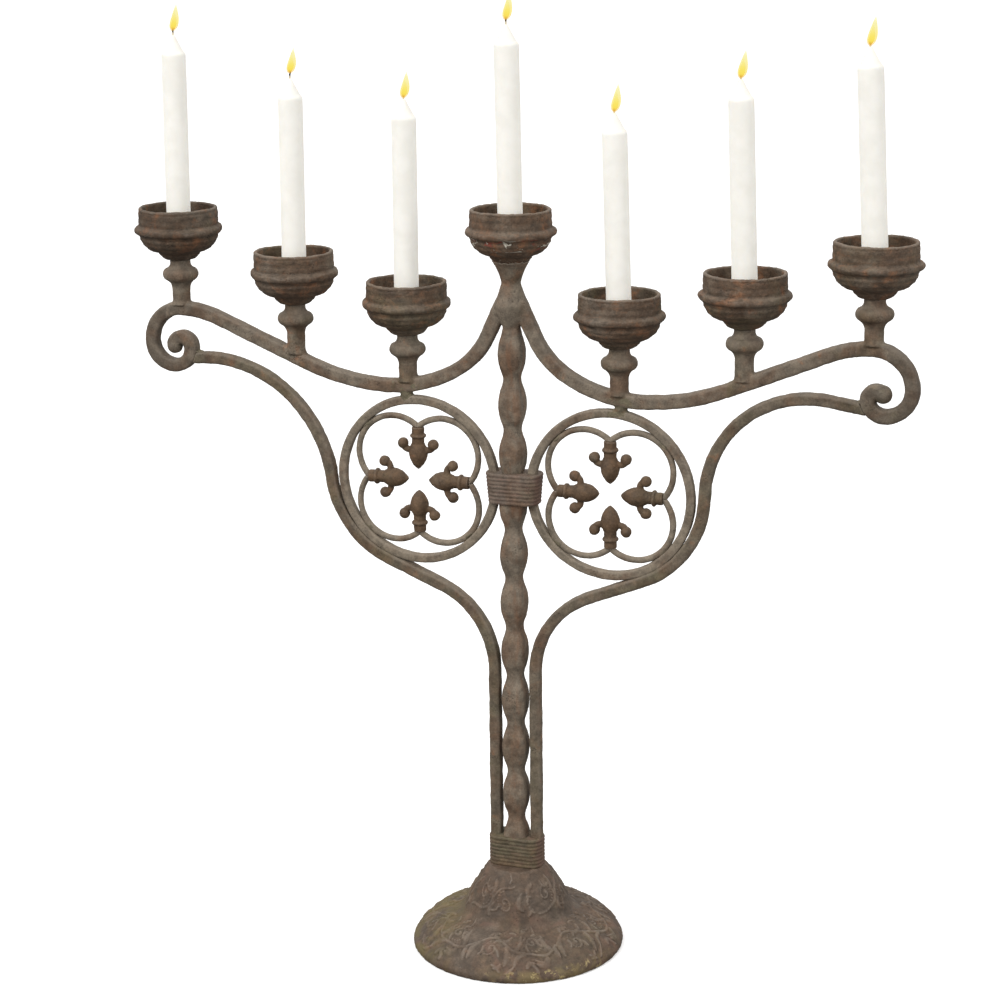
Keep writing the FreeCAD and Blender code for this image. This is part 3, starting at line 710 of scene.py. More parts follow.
# %% [markdown]
# ## Smooth joints
#
# The cone under the centre cup and the turned necks under the others are welded
# to the arms and dressed smooth, so no seam shows. A short length of each bar is
# cut off and wrapped in one skin together with the casting, and the skin is
# relaxed where they meet. The corner fills up and becomes a fillet, while the
# bar's own skin stays flush with it.

# %% Wrap a casting and short lengths of bar in one skin
def add_clipped(whole, node, low, high):
    """Adds a node's mesh to a bmesh, cut off outside two corners of a box."""
    part = bmesh.new()
    part.from_mesh(frame["nodes"][node].data)
    bmesh.ops.remove_doubles(part, verts=part.verts, dist=0.002 * mm)
    for corner, sign in ((low, -1.0), (high, 1.0)):
        for axis in (0, 2):
            way = Vector((0, 0, 0))
            way[axis] = sign
            geometry = part.verts[:] + part.edges[:] + part.faces[:]
            cut = bmesh.ops.bisect_plane(
                part, geom=geometry, plane_co=corner, plane_no=way, clear_outer=True)["geom_cut"]
            rim = [item for item in cut if isinstance(item, bmesh.types.BMEdge)]
            if rim:
                bmesh.ops.edgeloop_fill(part, edges=rim)
    bmesh.ops.triangulate(part, faces=part.faces[:])
    mesh = bpy.data.meshes.new("clipped")
    part.to_mesh(mesh)
    part.free()
    whole.from_mesh(mesh)
    bpy.data.meshes.remove(mesh)


def blended(node, name, bars, low, high, joint_low, joint_high, rounds):
    """A casting and its bars in one skin, relaxed between two heights."""
    whole = bmesh.new()
    far_off = Vector((9, 9, 9))
    add_clipped(whole, node, -far_off, far_off)
    for bar in bars:
        add_clipped(whole, bar, low, high)
    mesh = bpy.data.meshes.new(name)
    whole.to_mesh(mesh)
    whole.free()
    piece = bpy.data.objects.new(name, mesh)
    bpy.context.scene.collection.objects.link(piece)
    wrap = piece.modifiers.new("even skin", "REMESH")
    wrap.mode = "VOXEL"
    wrap.voxel_size = 0.9 * mm
    settle(piece)
    z = points_of(piece.data)[:, 2]
    soft = 3 * mm
    share = np.clip((z - joint_low) / soft, 0, 1) * np.clip((joint_high - z) / soft, 0, 1)
    joint = piece.vertex_groups.new(name="joint")
    for index in np.nonzero(share > 0.02)[0]:
        joint.add([int(index)], float(share[index]), "REPLACE")
    relax = piece.modifiers.new("fillet", "SMOOTH")
    relax.factor = 0.5
    relax.iterations = rounds
    relax.vertex_group = "joint"
    rounding = piece.modifiers.new("rounding", "SMOOTH")
    rounding.factor = 0.5
    rounding.iterations = 3
    return piece


print("joint helpers ready")

# %% [markdown]
# ## The crown and the balusters
#
# The castings are a little lumpy from the sand. The crown takes in the stem's
# top and both arms' tops; each baluster takes in the arm it stands on.

# %% The crown and the balusters
low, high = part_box("crown_neck")
reach = Vector((27 * mm, 0, 0))
crown = blended("crown_neck", "crown_neck_cast", ["arm_left", "arm_right", "stem"],
                Vector((0, 0, low.z - 9 * mm)) - reach, Vector((0, 0, low.z + 60 * mm)) + reach,
                low.z - 12 * mm, low.z + 40 * mm, 26)
push(crown, sand_lumps, 0.5 * mm)
push(crown, scale_crust, 0.3 * mm)
outward = crown.modifiers.new("fullness", "DISPLACE")
outward.strength = 0.35 * mm
outward.mid_level = 0.0
settle(crown)
finish_piece(crown, bar_finish, iron_body, ["crown_neck"])
for number in (1, 2, 3, 5, 6, 7):
    node = f"neck_{number}"
    low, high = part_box(node)
    middle = (low.x + high.x) / 2
    hand = "left" if middle < 0 else "right"
    piece = blended(node, node + "_cast", ["arm_" + hand],
                    Vector((middle - 15 * mm, 0, low.z - 40 * mm)), Vector((middle + 15 * mm, 0, high.z)),
                    low.z - 4 * mm, low.z + 11 * mm, 10)
    cast(piece, 0.8)
    settle(piece)
    finish_piece(piece, neck_finish, iron_body, [node])
print("7 necks cast")

# %% [markdown]
# ## The cups
#
# Each drip cup is a casting with turned rings: lines near the rim, lines on the
# bowl and an uneven bead between them. The lines are cut into the skin as
# shallow grooves at set heights from the bead, and they waver a little round
# the cup, with another phase on each cup, so that no two are alike.

# %% Turned lines on the cups
ring_lines = ((17.2, 0.9, 0.3), (11.0, 1.6, 0.3), (5.4, 1.0, 0.3), (-6.4, 1.1, 0.45), (-11.0, 1.5, 0.3),
              (-15.5, 1.2, 0.35), (-21.5, 1.0, 0.4), (-25.0, 0.9, 0.3))
cup_rng = np.random.default_rng(7)


def turn_cup(piece, axis_x, bead_z, phase):
    """Cuts level grooves in the outside, and makes rim and bead uneven."""
    mesh = piece.data
    points, normals = points_of(mesh), normals_of(mesh)
    across = points - np.array([axis_x, 0.0, bead_z])
    angle = np.arctan2(across[:, 1], across[:, 0])
    outward = across[:, :2] / np.maximum(np.linalg.norm(across[:, :2], axis=1), 1e-6)[:, None]
    outside = np.clip((normals[:, :2] * outward).sum(1) * 2.0 + 0.2, 0, 1)
    height = across[:, 2] / mm + 0.35 * np.sin(2 * angle + phase) + 0.2 * np.sin(5 * angle + 2 * phase)
    depth = np.zeros(len(points))
    for line, width, cut in ring_lines:
        depth += cut * np.exp(-((height - line) / width) ** 2)
    bead = np.exp(-(height / 3.0) ** 2) * (0.6 * np.sin(3 * angle + phase) + 0.5 * np.sin(8 * angle - phase))
    grow = (bead - depth) * outside * mm
    points += normals * grow[:, None]
    rim = np.clip(across[:, 2] / mm - 15.0, 0, 5) / 5.0
    points[:, 2] += rim * (0.25 * np.sin(2 * angle - phase) + 0.1 * np.sin(7 * angle + phase)) * mm
    move_points(mesh, points)


for number in range(1, 8):
    node = f"cup_{number}"
    low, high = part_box(node)
    piece = settle(cast(even_skin(node, node + "_cast", 0.8 * mm, 2), 1.3))
    turn_cup(piece, (low.x + high.x) / 2, high.z - rim_above_bead, cup_rng.uniform(0, 2 * math.pi))
    finish = centre_cup_finish if number == 4 else cup_finish
    finish_piece(piece, finish, iron_body, [node])
    print(node, len(piece.data.vertices), "points")

# %% [markdown]
# ## The candle sockets and the hidden fixings
#
# Short tubes on the cups' floors hold the candles. The washer and the nut under
# the foot are hidden, and their CAD shapes are right as they are.

# %% The sockets and fixings
sockets = settle(push(even_skin("candle_sockets", "candle_sockets_cast", 0.7 * mm, 1), scale_crust, 0.2 * mm))
finish_piece(sockets, cup_finish, iron_body, ["candle_sockets"])
for node in ("foot_washer", "foot_nut"):
    cad = frame["nodes"][node]
    cad.data.materials.clear()
    cad.data.materials.append(steel_finish)
print("sockets", len(sockets.data.vertices), "points")

# %% [markdown]
# ## The fleurs-de-lis
#
# Small sand castings. A fine skin keeps the curls apart, and lumps of about
# 5 mm make each a little different, because the texture is fixed in space.

# %% The fleurs-de-lis
for hand in ("left", "right"):
    for quarter in range(1, 5):
        node = f"fleur_{hand}_{quarter}"
        piece = settle(cast(even_skin(node, node + "_cast", 0.6 * mm, 2), 1.1))
        finish_piece(piece, fleur_finish, iron_body, [node])
print("8 fleurs cast")

# %% [markdown]
# ## The foot's relief
#
# The foot is cast with a low relief: a running scroll with leaves round the
# skirt, and looser scrolls on the bell. A relief this low is a height that
# depends on the angle round the foot and the distance from its axis. It is
# drawn as strokes, each a row of points with a width at every point. A vertex
# is raised where it lies inside a stroke, highest on the stroke's middle.

# %% Draw strokes
def stroke(points, widths):
    """Points along a smooth line, about one a millimetre, with their half widths."""
    line = np.array(points, float)
    for _ in range(3):
        inner = np.empty((2 * len(line) - 2, 2))
        inner[0::2] = line[:-1] * 0.75 + line[1:] * 0.25
        inner[1::2] = line[:-1] * 0.25 + line[1:] * 0.75
        line = np.vstack([line[:1], inner, line[-1:]])
    share = np.linspace(0, 1, len(line))
    return np.column_stack([line, np.interp(share, np.linspace(0, 1, len(widths)), widths)])


def spiral(centre, start, first_angle, turns, end=0.8):
    """A curl that winds in to its centre."""
    share = np.linspace(0, 1, 26)
    radius = start * (1 - share) ** 0.9 + end * share
    angle = math.radians(first_angle) + share * turns * 2 * math.pi
    line = np.column_stack([centre[0] + radius * np.cos(angle), centre[1] + radius * np.sin(angle)])
    return np.column_stack([line, np.interp(share, [0, 0.8, 1], [1.0, 1.2, 2.0])])


def leaf(root, tip, width, bow=0.0):
    """A pointed leaf from root to tip, bowed to one side."""
    root, tip = np.array(root, float), np.array(tip, float)
    way = tip - root
    middle = (root + tip) / 2 + bow * np.array([-way[1], way[0]])
    return stroke([root, middle, tip], [0.3, width * 0.85, width, width * 0.7, 0.2])


def raised(u, v, strokes):
    """How high each point stands in the strokes, from 0 to 1."""
    sheet = np.vstack(strokes)
    best = np.full(len(u), 9.0)
    for x, y, w in sheet:
        best = np.minimum(best, ((u - x) ** 2 + (v - y) ** 2) / w ** 2)
    return np.clip(1 - best, 0, 1) ** 0.9


relief_rng = np.random.default_rng(5)


def small_leaves(count, half_length, half_height):
    """Little leaves strewn between the larger forms, as a foundry's pattern has."""
    leaves = []
    for _ in range(count):
        root = relief_rng.uniform((-half_length, -half_height), (half_length, half_height))
        angle, reach = relief_rng.uniform(0, 2 * math.pi), relief_rng.uniform(6, 10)
        tip = root + reach * np.array([math.cos(angle), math.sin(angle)])
        leaves.append(leaf(root, tip, relief_rng.uniform(1.3, 2.1), relief_rng.uniform(-0.4, 0.4)))
    return leaves


print("strokes ready")

# %% [markdown]
# ## The skirt's running scroll
#
# One motif is 80 mm long and is repeated six times round the skirt. A wavy stalk
# runs through it, a curl grows into each hollow of the wave, and leaves fill
# what is left.

# %% The skirt's motif
motif_length = 80.0
wave = [(x, 8.5 * math.sin(2 * math.pi * x / motif_length)) for x in np.linspace(-44, 44, 23)]
skirt_strokes = [
    stroke(wave, [1.5, 1.5]),
    spiral((-20.0, 3.5), 8.5, -80, -1.35),
    spiral((20.0, -3.5), 8.5, 100, -1.35),
    leaf((-33, -5), (-37, 12), 3.0, 0.25),
    leaf((-28, -8.5), (-16, -15), 2.7, -0.3),
    leaf((-13, -7), (-2, -14), 3.0, 0.25),
    leaf((-5, -2), (-5, 14), 3.1, -0.2),
    leaf((4, 3), (8, -13), 3.0, 0.2),
    leaf((13, 8), (2, 15), 2.6, 0.3),
    leaf((28, 8.5), (18, 15.5), 2.7, -0.3),
    leaf((34, 4), (32, -12), 3.0, -0.25),
    leaf((36, 2), (42, 14), 2.7, 0.2),
] + small_leaves(24, 40, 21)
skirt_veins = [
    stroke([(-33, -5), (-34.5, 3), (-37, 11)], [0.5, 0.3]),
    stroke([(-13, -7), (-7, -10), (-2, -14)], [0.5, 0.3]),
    stroke([(-5, -2), (-6, 6), (-5, 13)], [0.5, 0.3]),
    stroke([(4, 3), (7, -5), (8, -12)], [0.5, 0.3]),
    stroke([(34, 4), (34.5, -4), (32, -11)], [0.5, 0.3]),
]
print(len(skirt_strokes), "strokes on the skirt")

# %% [markdown]
# ## The bell's scrolls
#
# Round the bell the pattern is looser: four pairs of broad curls that lean on
# each other, with bowed leaves between them.

# %% The bell's motif
bell_strokes = [
    spiral((-12.0, 2.0), 9.0, -70, 1.3),
    spiral((13.0, -3.0), 8.5, 110, 1.3),
    stroke([(-21, -12), (-4, -9), (3, 5), (20, 11)], [1.2, 2.0, 1.0]),
    leaf((-30, -6), (-24, 12), 3.0, 0.3),
    leaf((-3, 2), (-2, 15), 2.8, -0.3),
    leaf((2, -4), (-1, -15), 2.6, -0.3),
    leaf((27, 4), (30, -11), 2.8, -0.3),
] + small_leaves(8, 30, 14)
bell_veins = [stroke([(-29, -4), (-26, 10)], [0.5, 0.3]), stroke([(27, 2), (29, -9)], [0.5, 0.3])]
print(len(bell_strokes), "strokes on the bell")

# %% [markdown]
# ## Carve the foot
#
# The waist divides the two patterns. Each point's angle and distance become its
# place in a motif, with a slow waver, so that no two repeats are quite alike.
# How high a point stands is stored with it for the foot's finish.

# %% Carve the foot
foot = settle(cast(even_skin("foot", "foot_cast", 1.0 * mm, 9), 1.3))
foot_points = points_of(foot.data)
foot_normals = normals_of(foot.data)
foot_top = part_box("foot")[1].z
far = np.linalg.norm(foot_points[:, :2], axis=1)
round_angle = np.arctan2(foot_points[:, 1], foot_points[:, 0]) + math.radians(14)
outer_face = np.clip(foot_normals[:, 2] * 3.0, 0, 1) * (foot_points[:, 2] > 6.5 * mm)
lift = np.zeros(len(foot_points))
skirt_middle, bell_middle_z, bell_radius = 76.0, 57.0, 40.0
waist = 50 * mm


def around(count, middle):
    """Length along one repeated motif, in millimetres, at a middle radius."""
    step = 2 * math.pi / count
    return ((round_angle + step / 2) % step - step / 2) * middle


on_skirt = (far > waist) & (far < 96 * mm) & (outer_face > 0)
u = around(6, motif_length * 6 / (2 * math.pi))[on_skirt]
v = far[on_skirt] / mm - skirt_middle
waver = round_angle[on_skirt]
u, v = u + 1.8 * np.sin(5 * waver + v / 9), v + 1.6 * np.sin(7 * waver + u / 11)
lift[on_skirt] = 1.1 * raised(u, v, skirt_strokes) - 0.4 * raised(u, v, skirt_veins)

on_bell = (far > 26 * mm) & (far <= waist) & (foot_points[:, 2] > 36 * mm) & (outer_face > 0)
u = around(4, bell_radius)[on_bell]
v = foot_points[on_bell, 2] / mm - bell_middle_z
waver = round_angle[on_bell]
u, v = u + 1.2 * np.sin(4 * waver + v / 8), v + 1.2 * np.sin(6 * waver + u / 9)
lift[on_bell] = 0.85 * raised(u, v, bell_strokes) - 0.35 * raised(u, v, bell_veins)

foot_points += foot_normals * (lift * outer_face * mm)[:, None]
foot_points[:, 2] = np.clip(foot_points[:, 2], 0.0, foot_top + 0.5 * mm)
move_points(foot.data, foot_points)
decorated = np.where(on_skirt | on_bell, np.clip(lift, 0, 1), 0.14).astype(np.float32)
foot.data.attributes.new("ornament", "FLOAT", "POINT").data.foreach_set("value", decorated)
finish_piece(foot, foot_finish, iron_body, ["foot"])
print("foot", len(foot.data.vertices), "points, relief up to", round(lift.max(), 2), "mm")

# %% [markdown]
# ## The welds
#
# Where two bars touch, the smith left a small blob of weld: between the lobes
# and the rings, where a ring meets its arm and its brace, and where a brace ends
# under its scroll. A blob starts as a squashed ball of fine faces, is lumped with
# waves, and sinks into both bars. The lump between ring and arm is a CAD node, and
# it is fused with both in the way the crown is.

# %% Make a weld
weld_rng = np.random.default_rng(11)
weld_meshes = []


def weld(x, z, along, length, width, depth):
    """A bead of weld at a point of the front plane, lying along an angle."""
    ball = bmesh.new()
    bmesh.ops.create_icosphere(ball, subdivisions=4, radius=1.0)
    phase = weld_rng.uniform(0, 9, 3)
    for vert in ball.verts:
        p = vert.co
        lump = math.sin(3.1 * p.x + phase[0]) * math.sin(2.7 * p.y + phase[1])
        lump *= math.sin(3.3 * p.z + phase[2])
        vert.co = p * (1.0 + 0.22 * lump + weld_rng.uniform(-0.012, 0.012))
    size = Matrix.Diagonal((length * mm, depth * mm, width * mm, 1.0))
    spin = Matrix.Rotation(-math.radians(along), 4, "Y")
    bmesh.ops.transform(ball, matrix=Matrix.Translation((x, 0, z)) @ spin @ size, verts=ball.verts)
    mesh = bpy.data.meshes.new("weld")
    ball.to_mesh(mesh)
    ball.free()
    weld_meshes.append(mesh)


def join_welds(name):
    """Joins the welds made so far into one piece."""
    whole = bmesh.new()
    for mesh in weld_meshes:
        whole.from_mesh(mesh)
        bpy.data.meshes.remove(mesh)
    weld_meshes.clear()
    mesh = bpy.data.meshes.new(name)
    whole.to_mesh(mesh)
    whole.free()
    mesh.shade_smooth()
    piece = bpy.data.objects.new(name, mesh)
    bpy.context.scene.collection.objects.link(piece)
    finish_piece(piece, weld_finish, iron_body, [])
    print(name, len(mesh.vertices), "points")


for hand, way in (("left", -1), ("right", 1)):
    low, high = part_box("ring_" + hand)
    centre = (low + high) / 2
    outer = (high.x - low.x) / 2
    inner = outer - 9.6 * mm
    for degrees in (45, 135, 225, 315):
        turn_by = math.radians(degrees)
        weld(centre.x + inner * math.cos(turn_by), centre.z + inner * math.sin(turn_by),
             degrees + 90, 7.5, 2.6, depth=3.0)
    turn_by = math.radians(-66)
    weld(centre.x + way * outer * math.cos(turn_by), centre.z + outer * math.sin(turn_by),
         way * 24, 9.5, 2.6, depth=3.8)
    bar = points_of(frame["nodes"]["brace_" + hand].data)
    last = bar[bar[:, 0] * way > (bar[:, 0] * way).max() - 8 * mm]
    end_z = float(last[:, 2].mean())
    low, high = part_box("brace_" + hand)
    tip = low.x if way < 0 else high.x
    weld(tip - way * 3 * mm, end_z + 5.5 * mm, 0, 7.0, 2.2, depth=4.2)
    join_welds("welds_ring_" + hand)

    low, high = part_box("arm_weld_" + hand)
    middle, reach = (low + high) / 2, Vector((13 * mm, 0, 13 * mm))
    fused = blended("arm_weld_" + hand, f"arm_weld_{hand}_fused", ["arm_" + hand, "ring_" + hand],
                    middle - reach, middle + reach, middle.z - 12 * mm, middle.z + 12 * mm, 12)
    settle(push(fused, scale_crust, 0.5 * mm))
    finish_piece(fused, weld_finish, iron_body, ["arm_weld_" + hand])

# %% [markdown]
# ## The wax
#
# Wax lets light in a little way, so it needs subsurface scattering with a short
# reach. It is a plain, faintly warm white with a soft sheen, and a slow noise
# in its roughness and height keeps it from looking like plastic. A faint glow is
# painted into the wax as well, so that its shaded side stays almost as bright as its lit side.

# %% The wax
wax = bpy.data.materials.new("candle_wax")
wax.use_nodes = True
tree = wax.node_tree
tree.nodes.clear()
place = add(tree, "ShaderNodeTexCoord").outputs["Object"]
cloud = noise(tree, place, 0.014, 3.0)
colour = paint(tree, ramp(tree, cloud, 0.35, 0.65), screen(210, 208, 202), screen(216, 214, 209))
ripple = noise(tree, place, 0.006, 2.0)
normal = add(tree, "ShaderNodeBump", {"Height": ripple, "Distance": 0.12 * mm, "Strength": 0.5}).outputs[0]
# The emission below is a painted glow, which lifts the wax's shaded side almost to its lit side.
shader = add(tree, "ShaderNodeBsdfPrincipled", {
    "Base Color": colour, "Roughness": ramp(tree, cloud, 0.3, 0.7, 0.42, 0.55), "Normal": normal,
    "Subsurface Weight": 0.35, "Subsurface Radius": (1.0, 0.75, 0.5), "Subsurface Scale": 3.5 * mm,
    "Specular IOR Level": 0.3, "Emission Color": screen(255, 253, 243), "Emission Strength": 0.29})
tree.links.new(shader.outputs[0], add(tree, "ShaderNodeOutputMaterial").inputs[0])
print("wax ready")

# %% [markdown]
# ## The wick
#
# A braided cotton wick is cream where it leaves the wax and burnt black above.
# A value stored at each vertex says how burnt it is.

# %% The wick's finish
wick_finish = bpy.data.materials.new("wick_cotton")
wick_finish.use_nodes = True
tree = wick_finish.node_tree
tree.nodes.clear()
burnt = add(tree, "ShaderNodeAttribute", attribute_name="burnt").outputs["Fac"]
place = add(tree, "ShaderNodeTexCoord").outputs["Object"]
fray = noise(tree, place, 0.0007, 3.0)
edge = calc(tree, "ADD", burnt, calc(tree, "MULTIPLY", calc(tree, "SUBTRACT", fray, 0.5), 0.5))
colour = paint(tree, ramp(tree, edge, 0.1, 0.35), screen(226, 214, 186), screen(26, 20, 17))
normal = add(tree, "ShaderNodeBump", {"Height": fray, "Distance": 0.1 * mm}).outputs[0]
shader = add(tree, "ShaderNodeBsdfPrincipled", {"Base Color": colour, "Roughness": 0.9, "Normal": normal})
tree.links.new(shader.outputs[0], add(tree, "ShaderNodeOutputMaterial").inputs[0])
print("wick finish ready")

# %% [markdown]
# ## The flame
#
# A flame isn't a surface, but a thin glowing shell stands for it well: amber at
# its root, lemon yellow in the middle and pale at the tip. Two shells, a clear
# outer one and a bright core, give it depth. Both glow, so no lamp is needed.

# %% The flame's finishes
def glow(name, colours, strength, clear):
    """A glowing material whose colour depends on the height in the flame."""
    material = bpy.data.materials.new(name)
    material.use_nodes = True
    tree = material.node_tree
    tree.nodes.clear()
    rise = add(tree, "ShaderNodeAttribute", attribute_name="rise").outputs["Fac"]
    colour = colours[0][1]
    for (start, _), (stop, over) in zip(colours, colours[1:]):
        colour = paint(tree, ramp(tree, rise, start, stop), colour, over)
    alpha = ramp(tree, rise, 0.0, 0.25, clear[0], clear[1])
    alpha = calc(tree, "MULTIPLY", alpha, ramp(tree, rise, 0.75, 1.0, 1.0, clear[2]))
    shader = add(tree, "ShaderNodeBsdfPrincipled", {
        "Base Color": screen(20, 12, 4), "Roughness": 1.0, "Specular IOR Level": 0.0,
        "Emission Color": colour, "Emission Strength": strength, "Alpha": alpha})
    tree.links.new(shader.outputs[0], add(tree, "ShaderNodeOutputMaterial").inputs[0])
    return material


flame_shell = glow("flame_shell", ((0.0, screen(250, 206, 96)), (0.3, screen(252, 232, 110)),
                                   (0.8, screen(250, 242, 160))), 0.95, (0.3, 0.62, 0.4))
flame_core = glow("flame_core", ((0.0, screen(226, 150, 40)), (0.22, screen(255, 232, 84)),
                                 (0.9, screen(253, 247, 170))), 1.0, (0.7, 1.0, 0.8))
print("flames ready")

# %% [markdown]
# ## The candles
#
# A taper candle is a solid of revolution: a straight side, a rounded shoulder and
# a cone up to the wick. The seven lean by a degree or two, as candles do
# in wide cups. Each is turned here from one outline and set on the axis of the
# joint it lifts along, between the two ends of its CAD node.

# %% Turn an outline round an axis
def lathe(name, outline, turns, wobble=None):
    """A closed skin from (radius, height) pairs, both ends on the axis."""
    radii = np.array([r for r, _ in outline]) * mm
    heights = np.array([h for _, h in outline]) * mm
    angle = np.linspace(0, 2 * math.pi, turns, endpoint=False)
    rings = np.stack([np.outer(radii, np.cos(angle)), np.outer(radii, np.sin(angle)),
                      np.repeat(heights[:, None], turns, 1)], axis=2)
    if wobble is not None:
        rings[:, :, :2] *= wobble(heights[:, None] / mm, angle[None, :])[:, :, None]
    verts = [tuple(p) for p in rings.reshape(-1, 3)]
    faces = []
    for i in range(len(outline) - 1):
        here, above = i * turns, (i + 1) * turns
        for j in range(turns):
            beside = (j + 1) % turns
            faces.append((here + j, here + beside, above + beside, above + j))
    faces.append(tuple(reversed(range(turns))))
    faces.append(tuple(range((len(outline) - 1) * turns, len(outline) * turns)))
    mesh = bpy.data.meshes.new(name)
    mesh.from_pydata(verts, [], faces)
    mesh.shade_smooth()
    piece = bpy.data.objects.new(name, mesh)
    bpy.context.scene.collection.objects.link(piece)
    return piece


cone_height = 18.5


def candle_outline(length):
    """Radii and heights of a candle, from its foot to its tip."""
    shoulder = length - cone_height
    low = [(0.4, 0.0), (10.2, 0.0), (10.8, 0.3), (11.0, 1.0)]
    side = [(11.0, h) for h in np.linspace(2.0, shoulder - 1.0, 46)]
    turn_in = [(11.0, shoulder), (10.9, shoulder + 1.1), (10.6, shoulder + 2.1), (10.0, shoulder + 3.0),
               (9.2, shoulder + 3.9)]
    cone = [(9.2 - 7.2 * s ** 0.93, shoulder + 3.9 + 13.6 * s) for s in np.linspace(0.06, 1.0, 16)]
    return low + side + turn_in + cone + [(1.4, length - 0.5), (0.3, length - 0.2)]


joints = {joint["child"]: joint for joint in frame["joints"]}
candle_axes = {}
for number in range(1, 8):
    cad = frame["nodes"][f"candle_{number}"]
    axis = Vector(joints[f"candle_body_{number}"]["axis"]).normalized()
    points = points_of(cad.data)
    along = points @ np.array(axis)
    middle = points[along < along.min() + 0.5 * mm].mean(0)
    candle_axes[number] = (Vector(middle), axis, (along.max() - along.min()) / mm)
print("candle lengths in mm:", [round(v[2]) for v in candle_axes.values()])

# %% [markdown]
# ## Set the candles in their cups
#
# Every candle leans a little. It is turned upright at the origin, then tilted onto
# the axis that its slide joint gives, with its foot where the CAD candle's foot is.

# %% Set the candles in their cups
candle_rng = np.random.default_rng(3)


def set_on_axis(piece, foot, axis):
    """Puts an upright piece on an axis, by moving its points."""
    lean = Vector((0, 0, 1)).rotation_difference(axis).to_matrix().to_4x4()
    piece.data.transform(Matrix.Translation(foot) @ lean)
    piece.data.update()
    return piece


for number, (foot_point, axis, length) in candle_axes.items():
    phase = candle_rng.uniform(0, 6)

    def dipped(height, angle, phase=phase):
        slow = 0.006 * np.sin(height / 17 + phase) * np.cos(angle - phase)
        return 1.0 + slow + 0.004 * np.sin(height / 7 - phase)

    candle = lathe(f"candle_{number}_wax", candle_outline(length), 72, dipped)
    set_on_axis(candle, foot_point, axis)
    finish_piece(candle, wax, f"candle_body_{number}", [f"candle_{number}"])
print("7 candles set")

# %% [markdown]
# ## The wicks
#
# Three threads twist round each other. Each is a tube along a helix, and all
# three bend over at the top, where the flame has burnt them.

# %% Twist the wicks
def wick_line(height, lean_to):
    """Where the wick's middle is at a height above the wax, in millimetres."""
    bend = max(0.0, height - 2.0)
    return 0.09 * bend ** 1.7 * lean_to, height


def twist_wick(name, wick_height, lean_to):
    """Three threads twisted together, with how burnt each point is."""
    verts, faces, burnt = [], [], []
    steps, facets = 40, 8
    for thread in range(3):
        start = len(verts)
        for i in range(steps):
            share = i / (steps - 1)
            height = -3.0 + (wick_height + 3.0) * share
            x, z = wick_line(height, lean_to)
            twist = thread * 2 * math.pi / 3 + share * 5.5
            close = 0.42 * (1 - 0.35 * share ** 4)
            for j in range(facets):
                a = 2 * math.pi * j / facets
                verts.append(((x + close * math.cos(twist) + 0.48 * math.cos(a)) * mm,
                              (close * math.sin(twist) + 0.48 * math.sin(a)) * mm, z * mm))
                burnt.append(min(1.0, max(0.0, (height - 1.0) / (wick_height - 1.0))))
        for i in range(steps - 1):
            for j in range(facets):
                a, b = start + i * facets, start + (i + 1) * facets
                faces.append((a + j, a + (j + 1) % facets, b + (j + 1) % facets, b + j))
        faces.append(tuple(reversed(range(start, start + facets))))
        faces.append(tuple(range(start + (steps - 1) * facets, start + steps * facets)))
    mesh = bpy.data.meshes.new(name)
    mesh.from_pydata(verts, [], faces)
    mesh.shade_smooth()
    mesh.attributes.new("burnt", "FLOAT", "POINT").data.foreach_set("value", burnt)
    piece = bpy.data.objects.new(name, mesh)
    bpy.context.scene.collection.objects.link(piece)
    return piece


wick_above = 6.5
for number, (foot_point, axis, length) in candle_axes.items():
    wick = twist_wick(f"wick_{number}_twisted", wick_above, candle_rng.uniform(0.3, 1.0))
    set_on_axis(wick, foot_point + axis * (length * mm), axis)
    finish_piece(wick, wick_finish, f"candle_body_{number}", [f"wick_{number}"])
print("7 wicks twisted")

# %% [markdown]
# ## The flames
#
# Each flame starts where its wick leaves the wax, three of them a few millimetres
# higher, and leans the way the air moves. Its outline is a drop, widest a third of
# the way up, drawn out to a fine tip.

# %% Light the candles
def flame(name, tall, wide, lean_to, curl):
    """A drop-shaped shell that leans and curls to one side."""
    share = np.linspace(0, 1, 40)
    radius = wide / 2 * np.sin(np.pi * share ** 0.62) ** 0.85 * (1 - 0.25 * share)
    outline = [(max(r, 0.06), h) for r, h in zip(radius, share * tall)]
    piece = lathe(name, outline, 32)
    points = points_of(piece.data)
    rise = points[:, 2] / (tall * mm)
    points[:, 0] += (lean_to * rise + curl * np.sin(rise * 5.0) * rise) * mm
    move_points(piece.data, points)
    piece.data.attributes.new("rise", "FLOAT", "POINT").data.foreach_set("value", rise.astype(np.float32))
    return piece


flame_starts = {1: 3.0, 2: 4.0, 4: 3.0}
flame_width = 8.6
layers = (("shell", 1.0, 0.0, flame_shell), ("core", 0.62, 0.9, flame_core))
flame_rng = np.random.default_rng(21)
for number, (foot_point, axis, length) in candle_axes.items():
    tall, lean_to = flame_rng.uniform(23, 25), flame_rng.uniform(4.2, 5.8)
    curl = flame_rng.uniform(0.2, 0.7)
    root = foot_point + axis * ((length + flame_starts.get(number, 0.0)) * mm)
    for layer, share, up, material in layers:
        piece = flame(f"flame_{number}_{layer}", tall * (0.2 + 0.8 * share), flame_width * share,
                      lean_to * share, curl)
        piece.data.transform(Matrix.Translation(root + Vector((0, 0, up * mm))))
        piece.data.update()
        piece.data.materials.append(material)
        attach(piece, f"candle_body_{number}")
print("7 flames lit")

# %% [markdown]
# ## The studio
#
# A pale floor runs far past the object and glows like a light table. The world is
# a soft tent of light that is bright above and dim below, so that the undersides
# of the bars stay dark. A large lamp from the upper left gives the bars a lit
# side, and a weaker one from the right opens the shadows. The floor doesn't throw
# light back up.

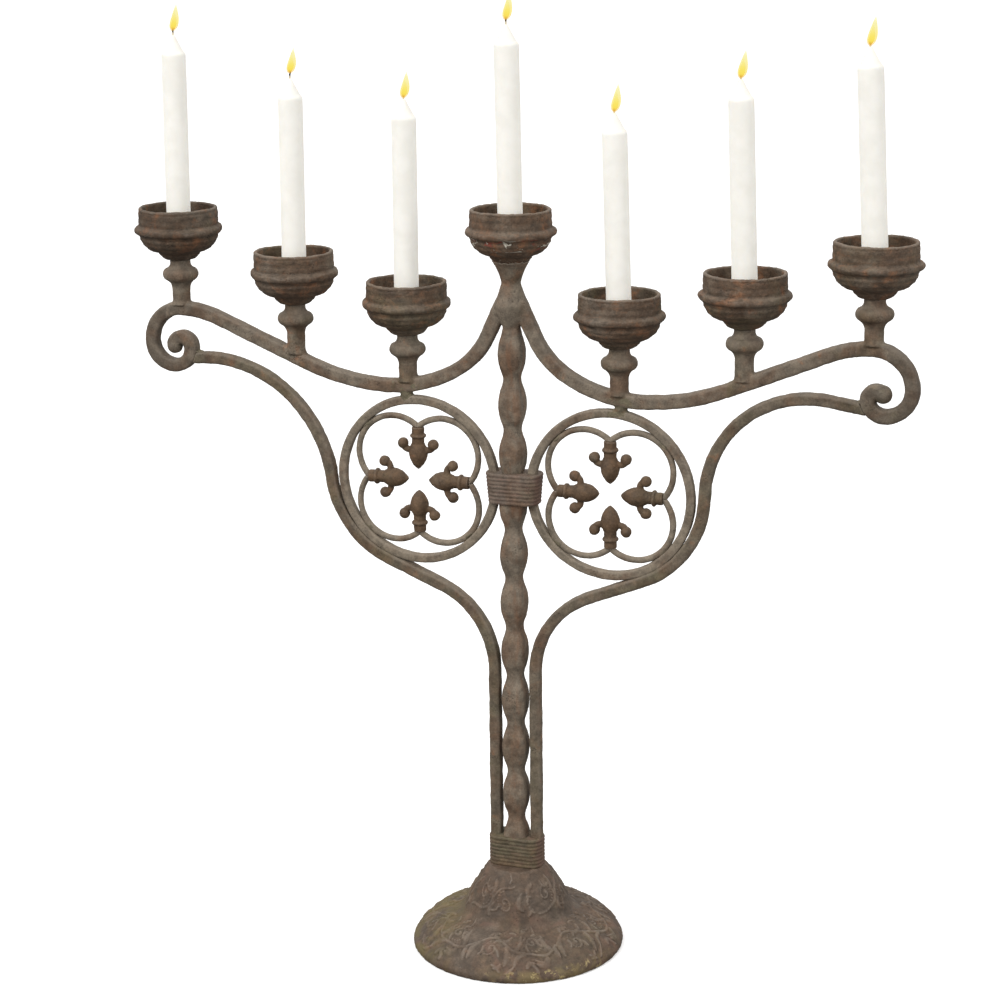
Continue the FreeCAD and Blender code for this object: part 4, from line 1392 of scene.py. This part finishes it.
# %% The floor
floor_mesh = bpy.data.meshes.new("studio_floor")
half_floor = 30.0
floor_mesh.from_pydata(
    [(-half_floor, -half_floor, 0), (half_floor, -half_floor, 0), (half_floor, half_floor, 0),
     (-half_floor, half_floor, 0)], [], [(0, 1, 2, 3)])
floor = bpy.data.objects.new("studio_floor", floor_mesh)
floor.location.z = -0.05 * mm
bpy.context.scene.collection.objects.link(floor)
floor.visible_diffuse = False
floor.visible_glossy = False
floor_finish = bpy.data.materials.new("pale_floor")
floor_finish.use_nodes = True
tree = floor_finish.node_tree
tree.nodes.clear()
shader = add(tree, "ShaderNodeBsdfPrincipled", {
    "Base Color": (0.93, 0.93, 0.93, 1.0), "Roughness": 1.0, "Specular IOR Level": 0.0,
    "Emission Color": (1.0, 1.0, 1.0, 1.0), "Emission Strength": 0.25})
tree.links.new(shader.outputs[0], add(tree, "ShaderNodeOutputMaterial").inputs[0])
floor_mesh.materials.append(floor_finish)
print("floor is", 2 * half_floor, "m wide")

# %% [markdown]
# ## The light
#
# The world lights the whole tent, and two lamps give it a direction. A broad lamp
# makes soft edges to the shade, as a window does.

# %% The light
world = bpy.data.worlds.new("light_tent")
bpy.context.scene.world = world
world.use_nodes = True
tree = world.node_tree
tree.nodes.clear()
towards = add(tree, "ShaderNodeTexCoord").outputs["Generated"]
height = add(tree, "ShaderNodeSeparateXYZ", {0: towards}).outputs["Z"]
strength = ramp(tree, height, -0.35, 0.55, 0.2, 1.1)
tent = add(tree, "ShaderNodeBackground", {"Color": (1.0, 0.99, 0.98, 1.0), "Strength": strength})
tree.links.new(tent.outputs[0], add(tree, "ShaderNodeOutputWorld").inputs[0])

for name, place, wide, watts in (("window_lamp", Vector((-1.6, -2.4, 2.6)), 1.6, 58.0),
                                 ("fill_lamp", Vector((2.6, -1.7, 1.2)), 2.0, 17.0)):
    lamp = bpy.data.lights.new(name, "AREA")
    lamp.shape = "DISK"
    lamp.size = wide
    lamp.energy = watts
    lamp_object = bpy.data.objects.new(name, lamp)
    lamp_object.location = place
    lamp_object.rotation_euler = (Vector((0, 0, 0.45)) - place).to_track_quat("-Z", "Y").to_euler()
    bpy.context.scene.collection.objects.link(lamp_object)
view = bpy.context.scene.view_settings
view.view_transform = "Standard"
view.look = "None"
print("lamps:", sorted(item.name for item in bpy.data.lights))
